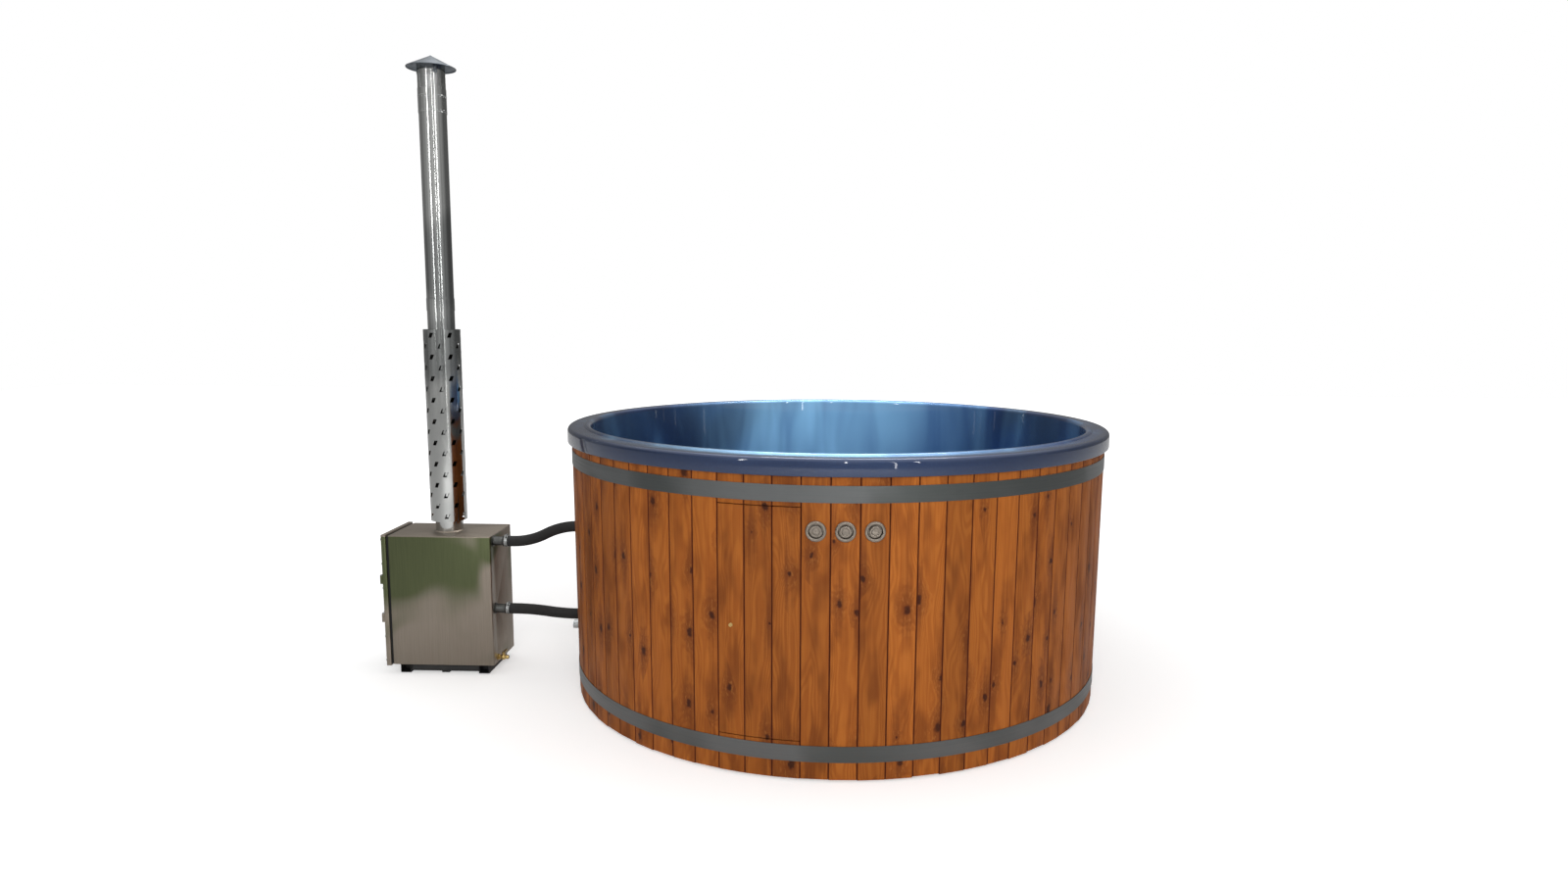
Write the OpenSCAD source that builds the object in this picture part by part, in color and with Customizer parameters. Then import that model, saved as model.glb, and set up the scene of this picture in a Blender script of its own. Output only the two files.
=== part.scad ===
// Wood-burning hot tub: round moulded shell in board cladding, outside heater and flue.
// Millimetres, +Z up, origin on the ground at the tub axis, heater towards -X, front towards -Y.

/* [Tub] */
// Outer diameter over the rolled rim
tub_d = 2000; // [1960:5:2040]
// Height of the flat top of the rim
tub_h = 978; // [960:1:1000]
// Height of the rim skirt that covers the board tops
rim_skirt = 53; // [40:1:62]
// Width of the rim from its outer face to the inner wall
rim_w = 85; // [80:1:90]
// Wall thickness of the moulded shell
shell_t = 8; // [6:0.5:9]
// Height of the bench top above the ground
bench_h = 520; // [500:1:530]
// Inner radius of the foot well
well_r = 548; // [530:1:570]

/* [Cladding] */
// Number of boards round the tub
board_n = 72; // [72:1:72]
// Board thickness
board_t = 21; // [18:0.5:22]
// How far the board faces stand in from the rim at the ground
board_inset = 25; // [22:0.5:28]
// How far the boards lean out over the full height
board_lean = 9.4; // [6:0.1:11]
// Gap between neighbouring boards on their outer faces
board_gap = 0.44; // [0.3:0.02:2]
// Chamfer along both outer edges of a board
board_c = 2.6; // [1:0.1:4]
// Height of the steel bands
band_h = 50; // [30:1:60]
// Gap between the rim skirt and the upper band
band_drop = 27; // [19:1:33]
// Bottom edge height of the lower band
band_lo_z = 63; // [40:1:66]

/* [Hatch and buttons] */
// Bottom of the service hatch
hatch_z0 = 127; // [126:1:200]
// Gap between the upper band and the service hatch
hatch_drop = 16; // [12:1:60]
// From the upper band down to the middle of the push buttons
button_drop = 84; // [58:1:108]
// Outer radius of a button bezel
bezel_r = 31; // [27:0.5:34]
// Travel of a push button
button_travel = 4; // [2:0.5:5]

/* [Heater] */
// Length of the heater casing along X
heater_l = 388; // [380:1:400]
// Width of the heater casing along Y
heater_w = 240; // [236:1:280]
// Top of the heater casing
heater_top = 541; // [535:1:560]
// Height of the black foot frame
heater_foot = 38; // [30:1:45]
// Distance from the tub axis to the heater casing
heater_x = 1302; // [1290:1:1340]

/* [Flue] */
// Outer radius of the flue pipe
flue_r = 49; // [45:0.5:52]
// Outer radius of the perforated heat shield
shield_r = 67; // [62:0.5:72]
// Gap between the heater's top and the heat shield
shield_gap = 44; // [36:1:60]
// Number of hole rings in the heat shield
shield_rows = 18; // [10:1:20]
// Height from one hole ring to the next
shield_pitch = 40.5; // [36:0.5:42]
// Rim radius of the rain cap
cap_r = 88; // [75:1:100]
// Height of the rain cap's cone
cap_h = 44; // [38:1:50]
// Height of the cap's apex
cap_top = 2310; // [2305:1:2320]

/* [Water] */
// Outer radius of the hoses
hose_r = 20.2; // [20:0.1:22]
// Outer radius of the hose stubs
stub_r = 17; // [15:0.1:17]
// From the heater's top down to the upper stub
stub_drop = 22; // [22:1:36]
// Height of the lower stub on the heater
stub_lo_z = 255; // [230:1:300]
// Height of the warm water inlet above the bench
inlet_rise = 60; // [55:1:65]
// Height of the suction outlet on the tub
outlet_z = 238; // [230:1:260]
// Height of the tub's drain pipe
drain_z = 150; // [150:1:156]

/* [Hidden] */
$fn = 96;
e = 0.02;
round_fn = 180;
pitch = 360 / board_n;
joint0 = -0.8;
rim_r = tub_d / 2;
wall_r = rim_r - rim_w;
skirt_z = tub_h - rim_skirt;
flat_z = tub_h - shell_t;
rim_corner = 14;
bead_r = 8;
bead_flat = 9.6;
fillet_r = 40;
nose_r = 20;
wall_lean = 22;
bench_r = wall_r - wall_lean - fillet_r;
board_r0 = rim_r - board_inset;
board_w = 2 * board_r0 * tan(pitch / 2) - board_gap;
board_z0 = 8;
board_z1 = flat_z - 4;
board_end = 3;
tilt = atan(board_lean / board_z1);
band_t = 1.5;
band_hi_z = skirt_z - band_drop - band_h;
hatch_z1 = band_hi_z - hatch_drop;
batten_zs = [hatch_z0 + 63, hatch_z1 - 132];
knob_z = (hatch_z0 + hatch_z1) / 2 - 12.5;
button_z = band_hi_z - button_drop;
disc_r = 16.5;
ring_r = 19.9;
bezel_ri = 20.4;
sleeve_r = 22;
stem_r = 6;
stem_l = 39;
floor_z = 113;
deck_z = floor_z - shell_t;
deck_t = 15;
runner_h = 45;
base_r = board_r0 - board_t - 24;
air_r = (well_r + wall_r) / 2 - 11.5;
blower_r = 84;
blower_h = 160;
blower_top = blower_h + 64;
nozzle_r = 6;
hx1 = -heater_x;
hx0 = hx1 - heater_l;
hy = -25;
hy0 = hy - heater_w / 2;
hy1 = hy + heater_w / 2;
sheet_t = 3;
fx = hx1 - 198;
pipe_y = hy0 + 37;
stub_hi_z = heater_top - stub_drop;
inlet_z = bench_h + inlet_rise;
bore_r = stub_r - 2.5;
tail_x = 12 - board_r0;
hose_x0 = hx1 + 40;
hose_x1 = 45 - board_r0;
clamp_x0 = hx1 + 52;
clamp_x1 = hose_x1 - 9;
inlet_x = 37 - wall_r;
outlet_x = 23 - well_r;
drain_x = 28 - well_r;
drain_y = 40;
valve_x = -board_r0 - 25;
drain_r = 16;
nut_t = 12;
cock_y = hy0 + 45;
cock_z = heater_foot + 20;
cock_x = hx1 + 22;
plate_x = hx0 - 9;
plate_t = 18;
face_x = plate_x - plate_t;
fb_x1 = hx1 - 33;
fb_y0 = hy0 + 30;
fb_y1 = hy1 - 30;
fb_z0 = heater_foot + 24;
fb_z1 = heater_top - 36;
mouth_w = 60;
mouth_z0 = heater_foot + 167;
mouth_z1 = fb_z1 - 120;
door_edge = 25;
rope_edge = 6;
rope_w = 10;
rope_t = 6;
rope_gap = 0.3;
hinge_x = face_x - 12;
hinge_y = hy0 + 20;
hinge_zs = [mouth_z0 - 5, mouth_z1 - 35];
knuckle_h = 16;
latch_y = hy + mouth_w;
latch_z = (mouth_z0 + mouth_z1) / 2;
keeper_y = latch_y + 35;
drawer_z = heater_foot + 64;
damper_r = 29;
grate_z = drawer_z + 42;
seat_z = heater_top + 19;
shield_z0 = heater_top + shield_gap;
shield_z1 = shield_z0 + 26 + (shield_rows - 1) * shield_pitch + 16;
pipe_t = 1.2;
seam_z = shield_z1 + 69.5;
socket_l = 40;
sleeve_z0 = cap_top - 207;
mesh_z0 = sleeve_z0 + 72;
mesh_r = flue_r - 0.6;
cap_z0 = cap_top - cap_h;

// Outer face radius of the cladding at height z
function face_r(z) = board_r0 + z * tan(tilt);
// Inner radius of a band that starts at height z0
function band_ri(z0) = sqrt(pow(face_r(z0 + band_h), 2) + pow(board_w / 2 - board_c, 2)) + 0.06;
// Inner radius of the tub's wall at height z
function wall_x(z) = wall_r - (flat_z - 2 - z) * wall_lean / (flat_z - 2 - bench_h - fillet_r);
// Middle angle of board i, measured from the front towards +X
function board_a(i) = joint0 + pitch * (i + 0.5);

// A box between two corners
module box(a, b) {
  translate(a) cube([b[0] - a[0], b[1] - a[1], b[2] - a[2]]);
}

// A tube standing on z0
module tube(r1, r0, z0, z1) {
  difference() {
    translate([0, 0, z0]) cylinder(r = r1, h = z1 - z0);
    translate([0, 0, z0 - 1]) cylinder(r = r0, h = z1 - z0 + 2);
  }
}

// A cylinder along X from x0 to x1 at y and z
module xcyl(r, x0, x1, y, z) {
  translate([x0, y, z]) rotate([0, 90, 0]) cylinder(r = r, h = x1 - x0);
}

// Places children on the outer face of board i at height z, outwards is -Y
module on_board(i, z) {
  rotate([0, 0, board_a(i)]) translate([0, -board_r0, 0]) rotate([tilt, 0, 0])
    translate([0, 0, z]) children();
}

// A cylinder along the outward direction from depth h0 to h1
module ocyl(r, h0, h1) {
  rotate([90, 0, 0]) translate([0, 0, h0]) cylinder(r = r, h = h1 - h0);
}

// Section of a board with chamfered outer edges and a tongue and groove
module board_2d(tongue) {
  k = tan(pitch / 2);
  h = board_w / 2;
  g = tongue ? 5 : 0;
  polygon([[-h + board_c, 0], [h - board_c, 0], [h - board_c * k, board_c],
    [h - 8 * k, 8], [h - 8 * k + g, 8], [h - 14 * k + g, 14], [h - 14 * k, 14],
    [h - board_t * k, board_t], [-h + board_t * k, board_t],
    [-h + 14.8 * k, 14.8], [-h + 6, 14.8], [-h + 6, 7.2], [-h + 7.2 * k, 7.2],
    [-h + board_c * k, board_c]]);
}

module board(i, z0, z1, tongue = true) {
  on_board(i, z0) linear_extrude(z1 - z0) board_2d(tongue);
}

// A curved bar from angle a0 to a1
module arc_bar(r0, r1, z0, z1, a0, a1) {
  rotate([0, 0, a0 - 90]) rotate_extrude(angle = a1 - a0) translate([r0, z0]) square([r1 - r0, z1 - z0]);
}

// A quarter ring section round c, opening into the quadrant sx, sy
module quarter(c, r0, r1, sx, sy) {
  translate(c) difference() {
    circle(r = r1);
    circle(r = r0);
    translate([sx > 0 ? -2 * r1 : 0, -2 * r1]) square([2 * r1, 4 * r1]);
    translate([-2 * r1, sy > 0 ? -2 * r1 : 0]) square([4 * r1, 2 * r1]);
  }
}

// Inner wall from height z0 up to z1
module wall_2d(z0, z1) {
  polygon([[wall_x(z0), z0], [wall_x(z0) + shell_t, z0], [wall_x(z1) + shell_t, z1], [wall_x(z1), z1]]);
}

module rim_2d() {
  t = shell_t;
  br = bead_r + t;
  bz = flat_z - 2;
  flat_x = wall_r + br + bead_flat;
  // rolled bead over the inner wall
  quarter([wall_r + br, bz], bead_r, br, -1, 1);
  quarter([wall_r + br, bz], bead_r, br, 1, 1);
  // flat, outer corner and skirt
  translate([flat_x, flat_z]) square([rim_r - rim_corner - flat_x, t]);
  quarter([rim_r - rim_corner, tub_h - rim_corner], rim_corner - t, rim_corner, 1, 1);
  translate([rim_r - t, skirt_z]) square([t, tub_h - rim_corner - skirt_z]);
  wall_2d(skirt_z, bz);
}

// The rolled rim from the skirt's lower edge upwards
module rim() {
  color("royalblue") rotate_extrude($fn = round_fn) rim_2d();
}

// Bench and wall, with the seat of the warm water inlet
module shell() {
  color("steelblue") difference() {
    union() {
      rotate_extrude($fn = round_fn) {
        wall_2d(bench_h + fillet_r, skirt_z);
        quarter([bench_r, bench_h + fillet_r], fillet_r, fillet_r + shell_t, 1, -1);
        translate([well_r + nose_r, bench_h - shell_t]) square([bench_r - well_r - nose_r, shell_t]);
      }
      xcyl(44, inlet_x - 24, inlet_x, pipe_y, inlet_z);
    }
    xcyl(stub_r + 0.1, inlet_x - 62, inlet_x + 8, pipe_y, inlet_z);
    nozzle_places() translate([0, 0, bench_h - 20]) cylinder(r = nozzle_r + 0.1, h = 40, $fn = 24);
  }
}

// Floor and riser under the bench's nose, with the seats of suction and drain
module foot_well() {
  color("cornflowerblue") difference() {
    union() {
      rotate_extrude($fn = round_fn) {
        quarter([well_r + nose_r, bench_h - nose_r], nose_r - shell_t, nose_r, -1, 1);
        translate([well_r, floor_z + fillet_r]) square([shell_t, bench_h - nose_r - fillet_r - floor_z]);
        quarter([well_r - fillet_r, floor_z + fillet_r], fillet_r, fillet_r + shell_t, 1, -1);
        translate([0, deck_z]) square([well_r - fillet_r, shell_t]);
      }
      xcyl(44, outlet_x - 27, outlet_x, pipe_y, outlet_z);
      xcyl(33, drain_x - 37, drain_x, drain_y, drain_z);
    }
    xcyl(stub_r + 0.1, outlet_x - 75, outlet_x + 25, pipe_y, outlet_z);
    xcyl(drain_r + 0.1, drain_x - 80, drain_x + 20, drain_y, drain_z);
  }
}

module nozzle_places() {
  for (k = [0:11]) {
    rotate([0, 0, 15 + 30 * k]) translate([air_r, 0, 0]) children();
  }
}

module base_runners() {
  w = 70;
  color("peru") for (k = [-2:2]) {
    x = 0.344 * base_r * k;
    l = sqrt(base_r * base_r - pow(abs(x) + w / 2, 2));
    box([x - w / 2, -l, 0], [x + w / 2, l, runner_h]);
  }
}

module base_joists() {
  w = 45;
  color("burlywood") for (k = [-2:2]) {
    y = 0.376 * base_r * k;
    l = sqrt(base_r * base_r - pow(abs(y) + w / 2 + 0.5, 2));
    box([-l, y - w / 2, runner_h], [l, y + w / 2, deck_z - deck_t]);
  }
}

module floor_deck() {
  r = face_r(deck_z - deck_t) - board_t - 0.4;
  color("tan") translate([0, 0, deck_z - deck_t]) cylinder(r = r, h = deck_t, $fn = round_fn);
}

module all_boards() {
  union() {
    for (i = [3:board_n - 6]) {
      board(i, board_z0, board_z1);
    }
    board(board_n - 5, board_z0, board_z1, false);
    for (i = [0:2]) {
      board(i - 4, board_z0, hatch_z0 - board_end);
      board(i - 4, hatch_z1 + board_end, board_z1);
    }
    for (i = [-1:1]) {
      difference() {
        board(i, board_z0, board_z1);
        on_board(i, button_z) ocyl(sleeve_r + 0.3, -40, 10);
      }
    }
    board(2, board_z0, board_z1);
  }
}

// The boards with their holes for the hoses and the drain pipe
module wall_boards() {
  x0 = -board_r0 - 125;
  x1 = 35 - board_r0;
  color("chocolate") difference() {
    all_boards();
    xcyl(hose_r + 1.5, x0, x1, pipe_y, inlet_z);
    xcyl(hose_r + 1.5, x0, x1, pipe_y, outlet_z);
    xcyl(drain_r + 1.5, x0, x1, drain_y, drain_z);
  }
}

// Timber rings that the boards are screwed to: under the rim, behind the wall and on the deck;
// the middle one leaves out the hatch and the buttons
module board_rings() {
  top_z = flat_z - 65;
  mid_z = bench_h + 110;
  top_r = face_r(top_z) - board_t - 0.5;
  mid_r = face_r(mid_z) - board_t - 0.5;
  low_r = face_r(deck_z) - board_t - 0.5;
  color("burlywood") {
    arc_ring(wall_r + 2 * (bead_r + shell_t) + 1.5, top_r, top_z, flat_z - 0.5);
    arc_bar(wall_x(mid_z + 40) + shell_t + 0.8, mid_r, mid_z, mid_z + 40, board_a(2), 360 + board_a(-5));
    arc_ring(low_r - 48, low_r, deck_z, deck_z + 17);
  }
}

// A closed ring from height z0 to z1
module arc_ring(r0, r1, z0, z1) {
  rotate_extrude($fn = round_fn) translate([r0, z0]) square([r1 - r0, z1 - z0]);
}

// Steel bands that touch the board corners at their top edges
module bands() {
  color("silver") for (z = [band_lo_z, band_hi_z]) {
    arc_ring(band_ri(z), band_ri(z) + band_t, z, z + band_h);
  }
}

// Tension screws on the back of the bands
module band_clamps() {
  color("gainsboro") for (z = [band_lo_z, band_hi_z]) {
    translate([0, band_ri(z) + band_t - 0.1, z + band_h / 2]) {
      for (s = [-1, 1]) {
        box([s * 22 - 4, 0, -18], [s * 22 + 4, 11, 18]);
        translate([s * 30 - 4, 5, 0]) rotate([0, 90, 0]) cylinder(r = 6, h = 8, $fn = 6);
      }
      translate([-44, 5, 0]) rotate([0, 90, 0]) cylinder(r = 3.5, h = 88);
    }
  }
}

module hatch_boards() {
  color("sienna") {
    difference() {
      board(-4, hatch_z0, hatch_z1);
      on_board(-4, knob_z) ocyl(3, -8, 10);
    }
    board(-3, hatch_z0, hatch_z1);
    board(-2, hatch_z0, hatch_z1, false);
  }
}

module hatch_battens() {
  a = board_a(-3);
  color("burlywood") for (z = batten_zs) {
    arc_bar(face_r(z) - board_t - 20, face_r(z) - board_t - 0.3, z, z + 40, a - 6.2, a + 6.2);
  }
}

module hatch_knob() {
  color("goldenrod") on_board(-4, knob_z) {
    ocyl(2.98, -8, 3);
    ocyl(5.5, 0.1, 2);
    rotate([90, 0, 0]) translate([0, 0, 2]) cylinder(r1 = 4, r2 = 5.5, h = 4);
  }
}

// Magnet catches behind the ends of the battens
module hatch_catches() {
  a = board_a(-3);
  color("dimgray") for (bz = batten_zs, s = [-1, 1]) {
    z = bz + 6;
    r = face_r(z) - board_t;
    arc_bar(r - 33, r - 20.3, z, z + 28, a + s * 6.95 - 1.6, a + s * 6.95 + 1.6);
    arc_bar(r - 21, r - 0.3, z, z + 28, a + s * 8.2 - 0.35, a + s * 8.2 + 0.35);
  }
}

module button_bezels() {
  dome_r = (bezel_r - bezel_ri) / 2;
  color("silver") for (i = [-1:1]) {
    on_board(i, button_z) rotate([90, 0, 0]) rotate_extrude() {
      translate([bezel_ri, -30]) square([sleeve_r - bezel_ri, 31]);
      translate([bezel_ri, 0.1]) square([bezel_r - bezel_ri - 2, 3]);
      difference() {
        translate([bezel_r - dome_r, 0.1]) circle(r = dome_r);
        translate([0, -20]) square([60, 20.1]);
      }
      translate([bezel_r - 3, 0.1]) square([3, 0.8]);
    }
  }
}

module push_button(i) {
  color("gainsboro") on_board(i, button_z) {
    ocyl(ring_r, -6, -1.5);
    ocyl(disc_r, -2, 3.2);
    ocyl(stem_r, -stem_l, -5);
  }
}

module button_1() {
  push_button(-1);
}

module button_2() {
  push_button(0);
}

module button_3() {
  push_button(1);
}

// Air bellows housings that clamp the bezels from behind
module button_bodies() {
  end = stem_l + button_travel + 1;
  color("black") for (i = [-1:1]) {
    on_board(i, button_z) difference() {
      union() {
        ocyl(sleeve_r + 5, -31, -board_t - 0.2);
        ocyl(sleeve_r + 2, -end - 2, -30);
      }
      ocyl(sleeve_r + 0.05, -30.1, 0);
      ocyl(stem_r + 0.04, -end, 0);
    }
  }
}

module control_box() {
  color("lightgray") rotate([0, 0, -27]) difference() {
    box([-75, 85 - board_r0, deck_z], [75, 165 - board_r0, deck_z + 200]);
    box([-76, 84 - board_r0, deck_z + 150], [76, 86 - board_r0, deck_z + 152]);
  }
}

// Place of the blower on the deck, behind the hatch
module at_blower() {
  rotate([0, 0, board_a(-3)]) translate([0, -air_r, deck_z]) children();
}

module air_blower() {
  color("dimgray") at_blower() {
    cylinder(r = blower_r + 8, h = 14);
    translate([0, 0, 14 - e]) cylinder(r = blower_r, h = blower_h);
    translate([0, 0, blower_h + 14 - 2 * e]) cylinder(r1 = blower_r, r2 = 60, h = 20);
    translate([0, 0, blower_h + 34 - 3 * e]) cylinder(r = 60, h = 30);
    translate([0, 0, blower_top - 4 * e]) cylinder(r = 13.4, h = 26);
  }
}

// Riser and ring pipe under the bench
module air_pipe() {
  zr = bench_h - 38;
  color("white") difference() {
    union() {
      rotate_extrude($fn = 72) translate([air_r, zr]) circle(r = 18, $fn = 32);
      at_blower() translate([0, 0, blower_top + 2]) cylinder(r = 16, h = zr - deck_z - blower_top - 7);
    }
    rotate_extrude($fn = 72) translate([air_r, zr]) circle(r = 15, $fn = 32);
    at_blower() translate([0, 0, blower_top + 1]) cylinder(r = 13.5, h = zr - deck_z - blower_top - 13);
    nozzle_places() translate([0, 0, zr]) cylinder(r = nozzle_r + 0.1, h = 40, $fn = 24);
  }
}

module air_nozzles() {
  color("silver") nozzle_places() translate([0, 0, bench_h]) difference() {
    union() {
      translate([0, 0, -22]) cylinder(r = nozzle_r, h = 23, $fn = 24);
      cylinder(r1 = 13, r2 = 11, h = 2.5, $fn = 32);
    }
    translate([0, 0, -23]) cylinder(r = 2, h = 30, $fn = 16);
  }
}

// A wall fitting with an inner flange, a cross grille and a hose tail
module fitting(x_in, x_out, r, fr, y, z) {
  difference() {
    union() {
      xcyl(fr, x_in + e, x_in + 5, y, z);
      xcyl(r, x_out, x_in + 1, y, z);
    }
    xcyl(r - 2.5, x_out - 1, x_in + 2, y, z);
    for (k = [-1.5:1:1.5]) {
      box([x_in, y - sqrt(r * r - 64 * k * k) * 0.8, z + k * 7 - 2.2],
        [x_in + 8, y + sqrt(r * r - 64 * k * k) * 0.8, z + k * 7 + 2.2]);
    }
  }
}

module return_fitting() {
  color("silver") fitting(inlet_x, tail_x, stub_r, 36, pipe_y, inlet_z);
}

module suction_fitting() {
  color("silver") fitting(outlet_x, tail_x, stub_r, 36, pipe_y, outlet_z);
}

module drain_fitting() {
  color("silver") fitting(drain_x, valve_x + 2, drain_r, 28, drain_y, drain_z);
}

// A pipe nut behind the wall, its face at x
module nut(x, r, flats_r, y, z) {
  difference() {
    xcyl(flats_r, x - nut_t, x - e, y, z, $fn = 6);
    xcyl(r + 0.1, x - nut_t - 5, x + 5, y, z);
  }
}

module fitting_nuts() {
  color("dimgray") {
    nut(inlet_x - 24, stub_r, 30, pipe_y, inlet_z);
    nut(outlet_x - 27, stub_r, 30, pipe_y, outlet_z);
    nut(drain_x - 37, drain_r, 26, drain_y, drain_z);
  }
}

module drain_valve() {
  x = valve_x;
  color("silver") difference() {
    union() {
      xcyl(drain_r + 4, x - 7, x + 16, drain_y, drain_z);
      xcyl(15, x - 22, x - 3, drain_y, drain_z);
      xcyl(16.6, x - 40, x - 21, drain_y, drain_z);
      translate([x - 12, drain_y, drain_z]) cylinder(r = 8, h = 24);
    }
    xcyl(drain_r + 0.1, x + 1, x + 20, drain_y, drain_z);
    xcyl(11, x - 50, x - 10, drain_y, drain_z);
    translate([x - 12, drain_y, drain_z + 12]) cylinder(r = 4.05, h = 20);
  }
}

module drain_lever() {
  x = valve_x - 12;
  color("red") translate([x, drain_y, drain_z]) {
    translate([0, 0, 14]) cylinder(r = 4, h = 14);
    translate([0, 0, 24.4]) cylinder(r = 9, h = 4);
    box([-6, 0, 24.4], [6, 58, 28.4]);
    translate([0, 58, 24.4]) cylinder(r = 6, h = 4);
  }
}

// A hose from the heater stub to the tub in two equal bends
module hose(z0, z1) {
  difference() {
    hose_run(z0, z1, hose_r, hose_r - 0.3, 0);
    hose_run(z0, z1, stub_r + 0.03, stub_r + 0.33, 1);
  }
}

// The hose's route as a solid: straight ends, two bends and a short straight between them
module hose_run(z0, z1, rs, rb, more) {
  xb = hose_x0 + 40;
  xc = hose_x1 - 45;
  run = xc - xb;
  a = 2 * atan(abs(z1 - z0) / run);
  r = run / (2 * sin(a));
  s = z1 > z0 ? 1 : -1;
  gap = 0.1;
  xcyl(rs, hose_x0 - more, xb + 1, pipe_y, z0);
  xcyl(rs, xc - 1, hose_x1 + more, pipe_y, z1);
  translate([xb, pipe_y, z0 + s * r]) rotate([90, 0, 0]) rotate([0, 0, s > 0 ? -90 : 90 - a + gap])
    rotate_extrude(angle = a - gap) translate([r, 0]) circle(r = rb);
  translate([xc, pipe_y, z1 - s * r]) rotate([90, 0, 0]) rotate([0, 0, s > 0 ? 90 : -90 - a + gap])
    rotate_extrude(angle = a - gap) translate([r, 0]) circle(r = rb);
  translate([(xb + xc) / 2, pipe_y, (z0 + z1) / 2]) rotate([0, 90 - s * a, 0])
    cylinder(r = rs, h = 8, center = true);
}

module upper_hose() {
  color("black") hose(stub_hi_z, inlet_z);
}

module lower_hose() {
  color("black") hose(stub_lo_z, outlet_z);
}

// Worm-drive clamp with its screw housing on top
module clamp(x, z) {
  difference() {
    union() {
      xcyl(hose_r + 1.3, x - 6, x + 6, pipe_y, z);
      box([x - 7, pipe_y - 8, z + hose_r + 0.4], [x + 7, pipe_y + 8, z + hose_r + 7]);
      translate([x, pipe_y - 16, z + hose_r + 4.2]) rotate([-90, 0, 0]) cylinder(r = 3.4, h = 28);
      translate([x, pipe_y - 19, z + hose_r + 4.2]) rotate([-90, 0, 0]) cylinder(r = 4.6, h = 4, $fn = 6);
    }
    xcyl(hose_r + 0.03, x - 10, x + 10, pipe_y, z);
  }
}

module hose_clamps() {
  color("silver") {
    clamp(clamp_x0, stub_hi_z);
    clamp(clamp_x0, stub_lo_z);
    clamp(clamp_x1, inlet_z);
    clamp(clamp_x1, outlet_z);
  }
}

module heater_stubs() {
  color("silver") for (z = [stub_hi_z, stub_lo_z]) {
    difference() {
      union() {
        xcyl(stub_r, hx1 - 5, hx1 + 78, pipe_y, z);
        xcyl(stub_r + 4, hx1 + 0.02, hx1 + 3, pipe_y, z);
      }
      xcyl(bore_r, hx1 - 10, hx1 + 90, pipe_y, z);
    }
  }
}

// Three cross tubes that stand on the ground, tied by two set-back rails
module heater_base() {
  x0 = hx0 + 18;
  x1 = hx1 - 26;
  y0 = hy0 + 15;
  y1 = hy1 - 15;
  w = 40;
  mid = 15;
  color("black") {
    foot_tube(x0, x0 + w, y0, y1);
    foot_tube(x1 - w, x1, y0, y1);
    box([(x0 + x1) / 2 - mid, y0 + 8, 0], [(x0 + x1) / 2 + mid, y1 - 8, heater_foot]);
    for (y = [y0 + 8, y1 - 38]) {
      box([x0 + w - e, y, 6], [x1 - w + e, y + 30, heater_foot]);
    }
  }
}

// A square tube along Y, open at both ends
module foot_tube(x0, x1, y0, y1) {
  difference() {
    box([x0, y0, 0], [x1, y1, heater_foot]);
    box([x0 + sheet_t, y0 - 1, sheet_t], [x1 - sheet_t, y0 + 40, heater_foot - sheet_t]);
    box([x0 + sheet_t, y1 - 40, sheet_t], [x1 - sheet_t, y1 + 1, heater_foot - sheet_t]);
  }
}

// Plan of the casing with rounded sheet corners
module casing_2d(d) {
  r = 5 - d;
  difference() {
    translate([hx0 + d, hy0 + d]) square([heater_l - 2 * d, heater_w - 2 * d]);
    for (y = [hy0, hy1]) {
      sy = y < hy ? 1 : -1;
      difference() {
        translate([hx1 - 5, y + (sy > 0 ? 0 : -5)]) square([5, 5]);
        translate([hx1 - 5, y + sy * 5]) circle(r = r);
      }
    }
  }
}

// Sheet casing with the weld bead round the flue collar
module heater_casing() {
  color("gray") difference() {
    union() {
      translate([0, 0, heater_foot]) linear_extrude(heater_top - heater_foot) casing_2d(0);
      translate([fx, hy, heater_top - 1]) cylinder(r1 = flue_r + 7, r2 = flue_r + 3, h = 6);
    }
    translate([0, 0, heater_foot + sheet_t]) linear_extrude(heater_top - heater_foot - 2 * sheet_t)
      casing_2d(sheet_t);
    box([hx0 - 5, fb_y0, fb_z0], [hx0 + 10, fb_y1, fb_z1]);
    translate([fx, hy, heater_top - 10]) cylinder(r = flue_r + 1.9, h = 20);
    xcyl(stub_r + 0.05, hx1 - 10, hx1 + 10, pipe_y, stub_hi_z);
    xcyl(stub_r + 0.05, hx1 - 10, hx1 + 10, pipe_y, stub_lo_z);
    xcyl(8.05, hx1 - 10, hx1 + 10, cock_y, cock_z);
  }
}

module firebox() {
  x1 = fb_x1;
  color("dimgray") {
    difference() {
      box([hx0, fb_y0, fb_z0], [x1, fb_y1, fb_z1]);
      box([hx0 - 1, fb_y0 + 4, fb_z0 + 4], [x1 - 4, fb_y1 - 4, fb_z1 - 4]);
      translate([fx, hy, fb_z1 - 10]) cylinder(r = flue_r + 1.85, h = 20);
    }
    for (y = [fb_y0 + 3, fb_y1 - 18]) {
      box([hx0 + 10, y, grate_z - 6], [x1 - 6, y + 15, grate_z]);
    }
  }
}

module grate() {
  color("dimgray") difference() {
    box([hx0 + 12, fb_y0 + 6, grate_z], [fb_x1 - 8, fb_y1 - 6, grate_z + 12]);
    for (k = [0:7], m = [0:1]) {
      x = hx0 + 30 + m * 158;
      y = fb_y0 + 23 + k * 18;
      box([x, y, grate_z - 4], [x + 140, y + 9, grate_z + 16]);
    }
  }
}

module heater_gasket() {
  color("black") difference() {
    box([plate_x, hy0 + 2, heater_foot + 3], [hx0, hy1 - 2, heater_top - 2]);
    box([plate_x - 1, fb_y0 + 1, fb_z0 + 2], [hx0 + 1, fb_y1 - 1, fb_z1 - 2]);
  }
}

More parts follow.
